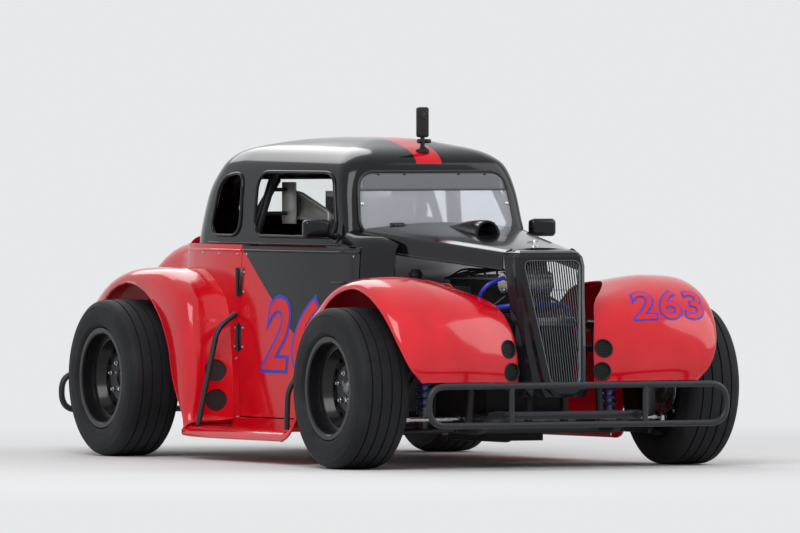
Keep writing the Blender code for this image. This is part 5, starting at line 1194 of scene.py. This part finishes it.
BALL_X = 0.525
for label, side in SIDES:
    for end in ("front", "rear"):
        coilover(f"{end}_{label}")
    wheel, knuckle = "front_wheel_" + label, "steering_knuckle_" + label
    # Wishbones with bushes and ball joints
    for kind, ball_z, pivot_x, pivot_z in (("lower", 0.1225, 0.2825, 0.135), ("upper", 0.4275, 0.2583, 0.415)):
        bm = bmesh.new()
        ball = Vector((side * BALL_X, FRONT_AXLE, ball_z))
        for end in (-1, 1):
            start = Vector((side * pivot_x, FRONT_AXLE + end * 0.11, pivot_z))
            pipe_bm([start, start.lerp(ball, 0.97)], 0.0095, 16, bm=bm)
            bush = [(-0.016, 0.006), (-0.016, 0.0125), (0.016, 0.0125), (0.016, 0.006)]
            lathe_bm(bush, start + Vector((side * 0.008, 0, 0)), AXIS_Y, 20, bm)
        joint = [(-0.012, 0), (-0.012, 0.016), (-0.006, 0.018), (0.006, 0.018), (0.012, 0.014), (0.012, 0)]
        lathe_bm(joint, ball, AXIS_Z, 24, bm)
        if kind == "lower":
            # Plate that carries the spring's foot
            slab_bm(side * 0.365, 0.027, (FRONT_AXLE - 0.074, 0.1232), (FRONT_AXLE + 0.074, 0.1308), 0.002, 2, bm)
        place(f"{kind}_arm_look_{label}", bm, SATIN, "car", 35, f"{kind}_arm_{label}")
    # Brake disc with a drilled face, made on the left and mirrored
    profile = [(-0.0730, 0.060), (-0.0730, 0.104), (-0.0720, 0.105), (-0.0640, 0.105), (-0.0630, 0.104),
               (-0.0630, 0.060)]
    holes = []
    for k in range(18):
        y, z = circle(18, 0.074 if k % 2 else 0.092)[k]
        y, z = FRONT_AXLE + y, TYRE_RADIUS + z
        holes.append(loose(rod_bm((WHEEL_X - 0.08, y, z), (WHEEL_X - 0.05, y, z), 0.0042, 14)))
    disc = boolean(loose(wheel_lathe(profile, WHEEL_X, FRONT_AXLE, 72)), "DIFFERENCE", *holes)
    if side < 0:
        left = disc
        disc = flipped(left)
        bpy.data.objects.remove(left)
    adopt("brake_disc_" + label, disc, STEEL, wheel)
    profile = [(-0.085, 0.0163), (-0.085, 0.045), (-0.074, 0.046), (-0.0735, 0.066), (-0.0625, 0.066),
               (-0.062, 0.046), (-0.020, 0.043), (0.0017, 0.045), (0.0017, 0.0285), (0.010, 0.0285),
               (0.010, 0.0200), (0.021, 0.0200), (0.0245, 0.0165), (0.026, 0.009), (0.0262, 0), (0.0017, 0),
               (0.0017, 0.0163)]
    bm = wheel_lathe([(side * a, r) for a, r in profile], side * WHEEL_X, FRONT_AXLE, 48)
    place("hub_look_" + label, bm, CAST, wheel, 35, "hub_front_" + label)
    # Upright with its stub axle and steering arm
    bm = slab_bm(side * BALL_X, 0.015, (FRONT_AXLE - 0.0225, 0.135), (FRONT_AXLE + 0.0225, 0.415), 0.004, 3)
    for start, end, radius, sides, tip in ((BALL_X, 0.648, 0.0158, 28, None), (0.539, 0.549, 0.034, 32, 0.026)):
        ends = sided(side, (start, FRONT_AXLE, TYRE_RADIUS), (end, FRONT_AXLE, TYRE_RADIUS))
        rod_bm(*ends, radius, sides, tip, bm)
    slab_bm(side * (BALL_X - 0.002), 0.012, (FRONT_AXLE - 0.117, 0.144), (FRONT_AXLE - 0.01, 0.156),
            0.0025, 2, bm)
    place("knuckle_look_" + label, bm, CAST, knuckle, 35, "knuckle_" + label)
    bm = slab_bm(side * 0.5785, 0.020, (FRONT_AXLE + 0.052, TYRE_RADIUS - 0.045),
                 (FRONT_AXLE + 0.112, TYRE_RADIUS + 0.045), 0.006, 3)
    gap = slab_bm(side * 0.582, 0.008, (FRONT_AXLE + 0.03, TYRE_RADIUS - 0.06),
                  (FRONT_AXLE + 0.1075, TYRE_RADIUS + 0.06))
    adopt("brake_caliper_" + label, boolean(loose(bm), "DIFFERENCE", loose(gap)), ALLOY, knuckle)
    tubes("caliper_bracket_" + label, [
        line(*sided(side, (0.545, FRONT_AXLE + 0.018, z), (0.562, FRONT_AXLE + 0.075, z)), 0.007)
        for z in (TYRE_RADIUS - 0.03, TYRE_RADIUS + 0.03)
    ], CAST, knuckle, sides=12)


# Rear axle and steering
bm = wheel_lathe(mirrored([
    (0.660, 0), (0.660, 0.023), (0.645, 0.024), (0.645, 0.0440), (0.615, 0.0445), (0.612, 0.034),
    (0.600, 0.0315), (0.110, 0.0315), (0.098, 0.050), (0.080, 0.075), (0.060, 0.0935),
]), 0, REAR_AXLE, 56)
for start, end, radius, tip in ((0.16, 0.05, 0.038, 0.050), (0.159, 0.145, 0.047, None)):
    rod_bm((0, REAR_AXLE - start, TYRE_RADIUS), (0, REAR_AXLE - end, TYRE_RADIUS), radius, 32, tip, bm)
for across, up in circle(10, 0.082):
    y, z = REAR_AXLE + across, TYRE_RADIUS + up
    rod_bm((-0.064, y, z), (0.064, y, z), 0.0055, 6, bm=bm)
for _, side in SIDES:
    for low, high in (((0, -0.05), (0.085, -0.03)), ((-0.01, -0.05), (0.01, 0))):
        slab_bm(side * 0.330, 0.022, (REAR_AXLE + low[0], TYRE_RADIUS + low[1]),
                (REAR_AXLE + high[0], TYRE_RADIUS + high[1]), 0.002, 2, bm)
place("rear_axle_look", bm, ENGINE_BLACK, "car", 35, "rear_axle")
for label, side in SIDES:
    start, end = [Vector(spot) for spot in sided(side, (0.300, 0.640, 0.135), (0.300, 0.891, 0.2725))]
    along = (end - start).normalized()
    bm = pipe_bm([start + along * 0.014, end - along * 0.014], 0.0095, 20)
    for spot, inward in ((start, along), (end, -along)):
        eye = [(-0.011, 0.005), (-0.011, 0.0115), (0.011, 0.0115), (0.011, 0.005)]
        lathe_bm(eye, spot + inward * 0.012, AXIS_X, 24, bm)
        rod_bm(spot + inward * 0.022, spot + inward * 0.034, 0.0125, 6, bm=bm)
    place("trailing_arm_look_" + label, bm, STEEL, "car", 35, "trailing_arm_" + label)
RACK = (0, FRONT_AXLE - 0.105, 0.172)
_, STEER_Y, RACK_Z = RACK
bm = lathe_bm([
    (-0.170, 0.0125), (-0.170, 0.020), (-0.160, 0.0238), (-0.120, 0.0238), (-0.116, 0.021), (0.030, 0.021),
    (0.036, 0.0238), (0.110, 0.0238), (0.160, 0.0238), (0.170, 0.020), (0.170, 0.0125),
], RACK, AXIS_X, 36)
for _, side in SIDES:
    slab_bm(side * 0.136, 0.019, (STEER_Y - 0.019, 0.1235), (STEER_Y + 0.019, 0.165), 0.003, 2, bm)
place("steering_rack_look", bm, CAST, "car", 35, "steering_rack")
bm = pipe_bm([(-0.512, STEER_Y, RACK_Z), (0.512, STEER_Y, RACK_Z)], 0.0085, 20)
for _, side in SIDES:
    lathe_bm([(0.0005, 0), (0.0005, 0.0125), (0.006, 0.0138), (0.020, 0.0138), (0.026, 0.011), (0.0295, 0.006),
              (0.0295, 0)], (side * BALL_X, STEER_Y, 0.156), AXIS_Z, 28, bm)
    rod_bm(*sided(side, (0.478, STEER_Y, RACK_Z), (0.496, STEER_Y, RACK_Z)), 0.0115, 6, bm=bm)
place("rack_bar_look", bm, STEEL, "sliding_rack", 35, "rack_bar")
for label, side in SIDES:
    rings = [(side * (0.171 + 0.0017 * k), 0.0185 if k % 4 in (1, 2) else 0.0150) for k in range(49)]
    profile = rings + [(rings[-1][0], 0.0098), (rings[0][0], 0.0120)]
    place("rack_boot_" + label, lathe_bm(profile, RACK, AXIS_X, 28), TRIM, "car", 80)


# Grille
GRILLE_TOP, PITCH = 0.740, 0.0095
OPENING = ((-0.112, 0.728), (0.112, 0.728), (0.056, 0.292), (-0.056, 0.292))


def grille_y(z):
    return -1.195 - 0.25 * (GRILLE_TOP - z)


bm = bmesh.new()
BLADE = mirrored([(-0.0016, 0.0042), (-0.0019, 0.0), (-0.0010, -0.0030)], [(0.0, -0.0036)])
for k in range(-10, 11):
    reach = abs(k) * PITCH
    top = 0.727 if reach < 0.090 else 0.717
    low = 0.294 + max(0.0, reach - 0.050) / 0.056 * 0.425
    rows = [[(k * PITCH + a, grille_y(z) + 0.0068 + b, z) for a, b in BLADE] for z in (low, top)]
    grid(rows, True, True, bm)
place("grille_blades", bm, GRILLE_METAL, "car", 50, "grille_bars")
for name, narrow, back, radius, sides in (
    ("grille_frame", 1, 0.0035, 0.0036, 12), ("grille_back_frame", 0.985, 0.0125, 0.0030, 10),
):
    path = [(a * narrow, grille_y(b) + back, b) for a, b in outline_of(OPENING, 0.030, 10)]
    tubes(name, [(path, radius, 0, True)], GRILLE_METAL, sides=sides)
ties = []
for z in (0.400, 0.513, 0.625):
    half, y = 0.056 + (z - 0.292) / 0.436 * 0.056, grille_y(z) + 0.0130
    ties.append(line((-half, y, z), (half, y, z), 0.0014))
tubes("grille_ties", ties, GRILLE_METAL, sides=8)


# Radiator
bm = slab_bm(0, 0.100, (-1.168, 0.250), (-1.136, 0.262), 0.002)
for _, side in SIDES:
    slab_bm(side * 0.096, 0.004, (-1.168, 0.262), (-1.136, 0.500), 0.001, 1, bm)
    slab_bm(side * 0.070, 0.010, (-1.168, 0.1505), (-1.140, 0.255), 0.001, 1, bm)
    slab_bm(side * 0.070, 0.010, (-1.168, 0.1505), (-1.060, 0.157), 0.001, 1, bm)
place("radiator_frame", bm, ENGINE_BLACK, "car", 35, "radiator")
bm = slab_bm(0, 0.0925, (-1.158, 0.262), (-1.146, 0.500))
for k in range(60):
    z = 0.2645 + 0.00395 * k
    slab_bm(0, 0.0925, (-1.1675, z), (-1.1385, z + 0.0011), bm=bm)
place("radiator_fins", bm, PLASTIC, "car")
bm = bmesh.new()
for x in spaced(-0.088, 0.088, 12):
    slab_bm(x, 0.0012, (-1.1672, 0.262), (-1.140, 0.500), bm=bm)
place("radiator_tubes", bm, GRILLE_METAL, "car")
bm = slab_bm(0, 0.104, (-1.172, 0.500), (-1.132, 0.528), 0.006, 3)
rod_bm((0.060, -1.150, 0.526), (0.060, -1.150, 0.5365), 0.017, 28, bm=bm)
place("radiator_tank", bm, ALLOY, "car")
tubes("radiator_hoses", [
    ([(0.085, -1.140, 0.514), (0.110, -1.115, 0.535), (0.100, -1.100, 0.571), (-0.110, -1.105, 0.571),
      (-0.150, -1.060, 0.560), (-0.160, -1.010, 0.560)], 0.0095, 0.035, False),
    ([(-0.175, -0.990, 0.560), (-0.215, -1.045, 0.585), (-0.205, -1.085, 0.640), (-0.130, -1.075, 0.667)],
     0.0070, 0.05, False),
], BLUE_HOSE, sides=16)


# Catch can, headers, engine dress and wiring
CAN_Y, CAN_Z, CAN_END = -1.065, 0.650, -0.128
bm = lathe_bm([
    (0, 0), (0, 0.034), (0.003, 0.0375), (0.004, 0.0384), (0.010, 0.0384), (0.012, 0.0372), (0.090, 0.0372),
    (0.092, 0.0384), (0.098, 0.0384), (0.100, 0.0372), (0.176, 0.0372), (0.178, 0.0384), (0.184, 0.0384),
    (0.186, 0.036), (0.188, 0.030), (0.188, 0),
], (CAN_END, CAN_Y, CAN_Z), AXIS_X, 56)
place("catch_can_look", bm, ALLOY, "car", 30, "catch_can")
spots = [((CAN_END, CAN_Y + a, CAN_Z + b), (-1, 0, 0)) for a, b in circle(6, 0.029)]
bolts("catch_can_screws", spots, STEEL, radius=0.003, height=0.002)
tubes("catch_can_straps", [line((x, CAN_Y, 0.612), (foot, -1.030, 0.515), 0.005)
                           for x, foot in ((-0.100, -0.225), (0.035, 0.225))], SATIN, sides=10)
headers, leads = [], []
for k in range(4):
    y = -0.7625 + (k - 1.5) * 0.095
    out = 0.205 + 0.006 * k
    headers.append(([(0.112, y, 0.575), (0.165, y, 0.570), (out, y + 0.02, 0.510), (out, y + 0.05, 0.300),
                     (0.205, -0.520, 0.235)], 0.0150, 0.05, False))
    leads.append(([(0.030, y, 0.670), (0.030, y, 0.690), (-0.050, y + 0.02, 0.692),
                   (-0.120, -0.600 - 0.01 * k, 0.660)], 0.0038, 0.03, False))
headers.append(([(0.205, -0.540, 0.235), (0.205, -0.488, 0.215), (0.205, -0.488, 0.092), (0.205, 0.020, 0.092)],
                0.022, 0.05, False))
tubes("exhaust_headers", headers, EXHAUST, sides=18)
bm = bmesh.new()
for k in range(24):
    z = 0.362 + 0.0076 * k
    slab_bm(0, 0.104, (-0.962, z), (-0.563, z + 0.0022), bm=bm)
place("cylinder_fins", bm, CAST, "car")
bm = slab_bm(0, 0.090, (-0.955, 0.654), (-0.570, 0.668), 0.005, 3)
for x in (-0.060, 0.0, 0.060):
    slab_bm(x, 0.012, (-0.950, 0.666), (-0.575, 0.672), 0.002, 2, bm)
place("cam_cover", bm, CAST, "car")
spots = [((x, -0.945 + 0.0725 * k, 0.667), AXIS_Z) for x in (-0.083, 0.083) for k in range(6)]
bolts("cam_cover_bolts", spots, STEEL, radius=0.0055, height=0.005)
tubes("plug_leads", leads, PLASTIC, sides=10)
tubes("loom_wires", [(path, 0.0030, 0.03, False) for path in (
    [(-0.246, -0.96, 0.60), (-0.250, -0.90, 0.645), (-0.235, -0.80, 0.640), (-0.240, -0.70, 0.655),
     (-0.230, -0.62, 0.640)],
    [(-0.180, -0.98, 0.42), (-0.200, -0.995, 0.34), (-0.150, -1.005, 0.30), (-0.060, -1.000, 0.27)],
)], RED_WIRE, sides=10)
bm = lathe_bm([
    (0, 0), (0, 0.0075), (0.021, 0.0075), (0.022, 0.0215), (0.028, 0.0235), (0.034, 0.0225), (0.040, 0.0255),
    (0.046, 0.0245), (0.052, 0.0185), (0.058, 0.0140), (0.0615, 0.0060), (0.062, 0),
], (-0.222, -0.575, 0.630), AXIS_Z, 40)
place("breather_filter", bm, TRIM, "car", 30)


# Vents
def round_vent(tree, x, z, radius, slatted):
    """Level slats in a rim over a hole in a front face, and the dark screen behind it."""
    spot, normal, _, _ = tree.ray_cast(Vector((x, -1.5, z)), Vector(AXIS_Y))
    normal = normal if normal.y < 0 else -normal

    def on(a, b, lift):
        return spot + Vector((a, -(normal.x * a + normal.z * b) / normal.y, b)) + normal * lift

    pieces = {}
    if slatted:
        slats = pipe_bm([on(a, b, 0.0008) for a, b in circle(32, radius)], 0.0030, 10, True)
        for k in range(-3, 4):
            level, half = k * radius / 4, math.sqrt(1 - (k / 4) ** 2) * radius
            pipe_bm([on(-half, level, -0.0030), on(half, level, -0.0030)], 0.0022, 8, bm=slats)
        pieces["vent"] = (slats, PLASTIC)
    screen = grid([[on(a, b, -0.0075) for a, b in circle(32, share * radius)] for share in (0.5, 1.0)], True)
    screen.faces.new(list(screen.verts)[:32])
    pieces["vent_screen"] = (screen, TRIM)
    return pieces


for end, (_, _, vents, radius, _) in FENDERS.items():
    fender_tree = tree_of(fender_skin(end))
    for k, (x, z) in enumerate(vents):
        for kind, (bm, mat) in round_vent(fender_tree, x, z, radius, end == "front").items():
            both(f"{end}_{kind}_{k}", loose(bm), mat)
    if end == "front":
        decal("fender_number_{}", fender_tree, 0.18, (0.455, -1.17, 0.556), (0, -1, 0.35), (0.008, 0.001), "car")


# Hood furniture
def on_hood(x, y, lift=0.0):
    return hug(HOOD_TREE, [(x, y, 0)], AXIS_Z, lift)[0]


for label, side in SIDES:
    feet = [hood_section(share)[0] for share in spaced(0.125, 1, 17)]
    edge = [(side * x, y, z + 0.003) for x, y, z in feet]
    tubes("hood_edge_bead_" + label, [(edge, 0.0042, 0, False)], BLACK, "engine_hood", sides=12)
    x = side * 0.180
    bm = rod_bm((x - 0.026, -0.345, 0.845), (x + 0.026, -0.345, 0.845), 0.0085, 24)
    grid([[on_hood(x + a, y, 0.0018) for a in (-0.020, -0.007, 0.007, 0.020)]
          for y in (-0.352, -0.368, -0.385)], bm=bm)
    place("hood_hinge_" + label, bm, SATIN, "engine_hood")
    spots = [(on_hood(x + a, -0.374, 0.0020), AXIS_Z) for a in (-0.011, 0.011)]
    bolts("hood_hinge_bolts_" + label, spots, SATIN, "engine_hood", 0.005)
pin = on_hood(0, -1.060)
bm = lathe_bm([(-0.001, 0), (-0.001, 0.017), (0.0012, 0.0165), (0.0018, 0.0050), (0.020, 0.0048), (0.023, 0.0030),
               (0.0235, 0)], pin, AXIS_Z, 32)
place("hood_pin", bm, STEEL, "engine_hood")
clip = [(across, pin.y + 0.0062, pin.z + 0.0115 + up) for across, up in (
    (-0.024, 0.0), (0.006, 0.0), (0.018, 0.006), (0.020, 0.018), (0.010, 0.024), (0.001, 0.016), (0.000, 0.006),
    (-0.022, 0.0035),
)]
tubes("hood_pin_clip", [(clip, 0.0015, 0.005, False)], CAST, "engine_hood", sides=10)

# Mirrors and roof camera
for label, side in SIDES:
    x = side * 0.451
    bm = slab_bm(x, 0.051, (-0.262, 0.800), (-0.222, 0.864), 0.0165, 6)
    foot = hug(CAB_TREE, [(0, -0.236, 0.797)], (side, 0, 0))[0]
    rod_bm(foot - Vector((side * 0.003, 0, 0)), (side * 0.425, -0.242, 0.818), 0.0095, 24, 0.0080, bm)
    flange = [(-0.002, 0), (-0.002, 0.019), (0.003, 0.0185), (0.005, 0.014), (0.005, 0)]
    lathe_bm(flange, foot, (side, 0, 0), 32, bm)
    place("mirror_housing_" + label, bm, BLACK, "car", 35, "mirror_" + label)
    face = outline_of([(x - 0.044, 0.807), (x + 0.044, 0.807), (x + 0.044, 0.857), (x - 0.044, 0.857)], 0.012)
    adopt("mirror_face_" + label, prism_obj(face, "Y", -0.2235, -0.2212), MIRROR, "car")
CAMERA_Y, JOINT_Z, LENS_SPOT = -0.187, 1.1415, (0, -0.200, 1.236)
roof = hug(CAB_TREE, [(0, CAMERA_Y, 0)], AXIS_Z)[0]
bm = slab_bm(0, 0.022, (-0.200, 1.155), (-0.174, 1.263), 0.0085, 6)
rod_bm(roof, (0, CAMERA_Y, 1.160), 0.0085, 24, 0.0075, bm)
rod_bm((-0.018, CAMERA_Y, JOINT_Z), (0.018, CAMERA_Y, JOINT_Z), 0.0080, 24, bm=bm)
socket = [(-0.004, 0), (-0.004, 0.024), (0.006, 0.0238), (0.009, 0.020), (0.016, 0.0105), (0.016, 0)]
lathe_bm(socket, roof, AXIS_Z, 40, bm)
place("roof_camera_look", bm, PLASTIC, "car", 35, "roof_camera")
for name, mat, profile in (
    ("camera_lens_ring", SATIN, [
        (-0.002, 0.0105), (-0.002, 0.0155), (0.0030, 0.0150), (0.0035, 0.0115), (0.0010, 0.0105)]),
    ("camera_lens", TRIM, [(-0.002, 0), (-0.002, 0.0110), (0.0008, 0.0108), (0.0018, 0.006), (0.0020, 0)]),
):
    place(name, lathe_bm(profile, LENS_SPOT, (0, -1, 0), 40), mat, "car")
bm = rod_bm((0.020, CAMERA_Y, JOINT_Z), (0.031, CAMERA_Y, JOINT_Z), 0.0075, 8)
place("camera_thumb_screw", bm, TRIM, "car")

# Cabin furniture
wing = []
for y, top, low in ((0.425, 0.962, 0.868), (0.330, 0.950, 0.862), (0.240, 0.918, 0.855), (0.150, 0.886, 0.850)):
    bend = -0.235 + 0.030 * (0.425 - y) / 0.275
    wing.append([(bend + 0.018 * math.sin(math.pi * k / 6), y, low + (top - low) * k / 6) for k in range(7)])
adopt("head_wing", skin(dense(wing, 4, 2), 0.003, (0.2, 0.3, 0.9)), SEAT_METAL, "car")
rim = [row[-1] for row in wing] + [row[0] for row in reversed(wing)]
tubes("head_wing_rim", [(rim, 0.0070, 0.012, True)], SEAT_METAL, sides=14)
bm = box_bm((-0.252, 0.330, 0.842), (-0.246, 0.440, 0.992), 0.002)
box_bm((-0.252, 0.428, 0.842), (-0.205, 0.434, 0.992), 0.002, 2, bm)
place("head_plate", bm, SEAT_METAL, "car")
brackets = [line((-0.247, 0.400, z), (x, 0.400, z), 0.0070) for x, z in ((-0.348, 0.880), (-0.320, 0.965))]
tubes("head_plate_brackets", brackets, SATIN, sides=14)
for k, (x, radius) in enumerate(((-0.215, 0.026), (-0.140, 0.032), (0.190, 0.026))):
    centre = Vector((x, -0.2935, 0.682))
    inner, face = radius * 0.86, radius * 0.88
    bezel = [(-0.004, inner), (-0.004, radius), (0.006, radius), (0.009, radius * 0.93), (0.006, inner)]
    place(f"gauge_bezel_{k}", lathe_bm(bezel, centre, AXIS_Y, 40), STEEL, "car")
    dial = [(-0.004, 0), (-0.004, face), (0.003, face), (0.003, 0)]
    place(f"gauge_face_{k}", lathe_bm(dial, centre, AXIS_Y, 40), PLASTIC, "car")
    pivot = centre + Vector((0, 0.0045, 0))
    hand = line(pivot, pivot + Vector((radius * 0.5, 0, radius * 0.45)), 0.0011)
    tubes(f"gauge_needle_{k}", [hand], RED_WIRE, sides=8)
bm = bmesh.new()
for x in (-0.150, 0.150):
    for low, high in (((1.0265, 0.5075), (1.2535, 0.5100)), ((1.0270, 0.330), (1.0300, 0.5090)),
                      ((1.2500, 0.330), (1.2530, 0.5090))):
        slab_bm(x, 0.014, low, high, 0.0008, 1, bm)
place("fuel_cell_straps", bm, STEEL, "car")
cap = [(0, 0), (0, 0.040), (0.004, 0.040), (0.005, 0.030), (0.014, 0.029), (0.016, 0.026), (0.016, 0)]
place("fuel_cell_cap", lathe_bm(cap, (0, 1.14, 0.507), AXIS_Z, 40), ALLOY, "car")
spots = [(hug(BODY_TREE, [(x, 1.36, 0)], (0, 0.25, 1), 0.0005)[0], (0, 0.45, 1)) for x in (-0.19, 0.19)]
bolts("deck_lid_pins", spots, STEEL, "rear_lid", 0.011, 0.006)


low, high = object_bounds()
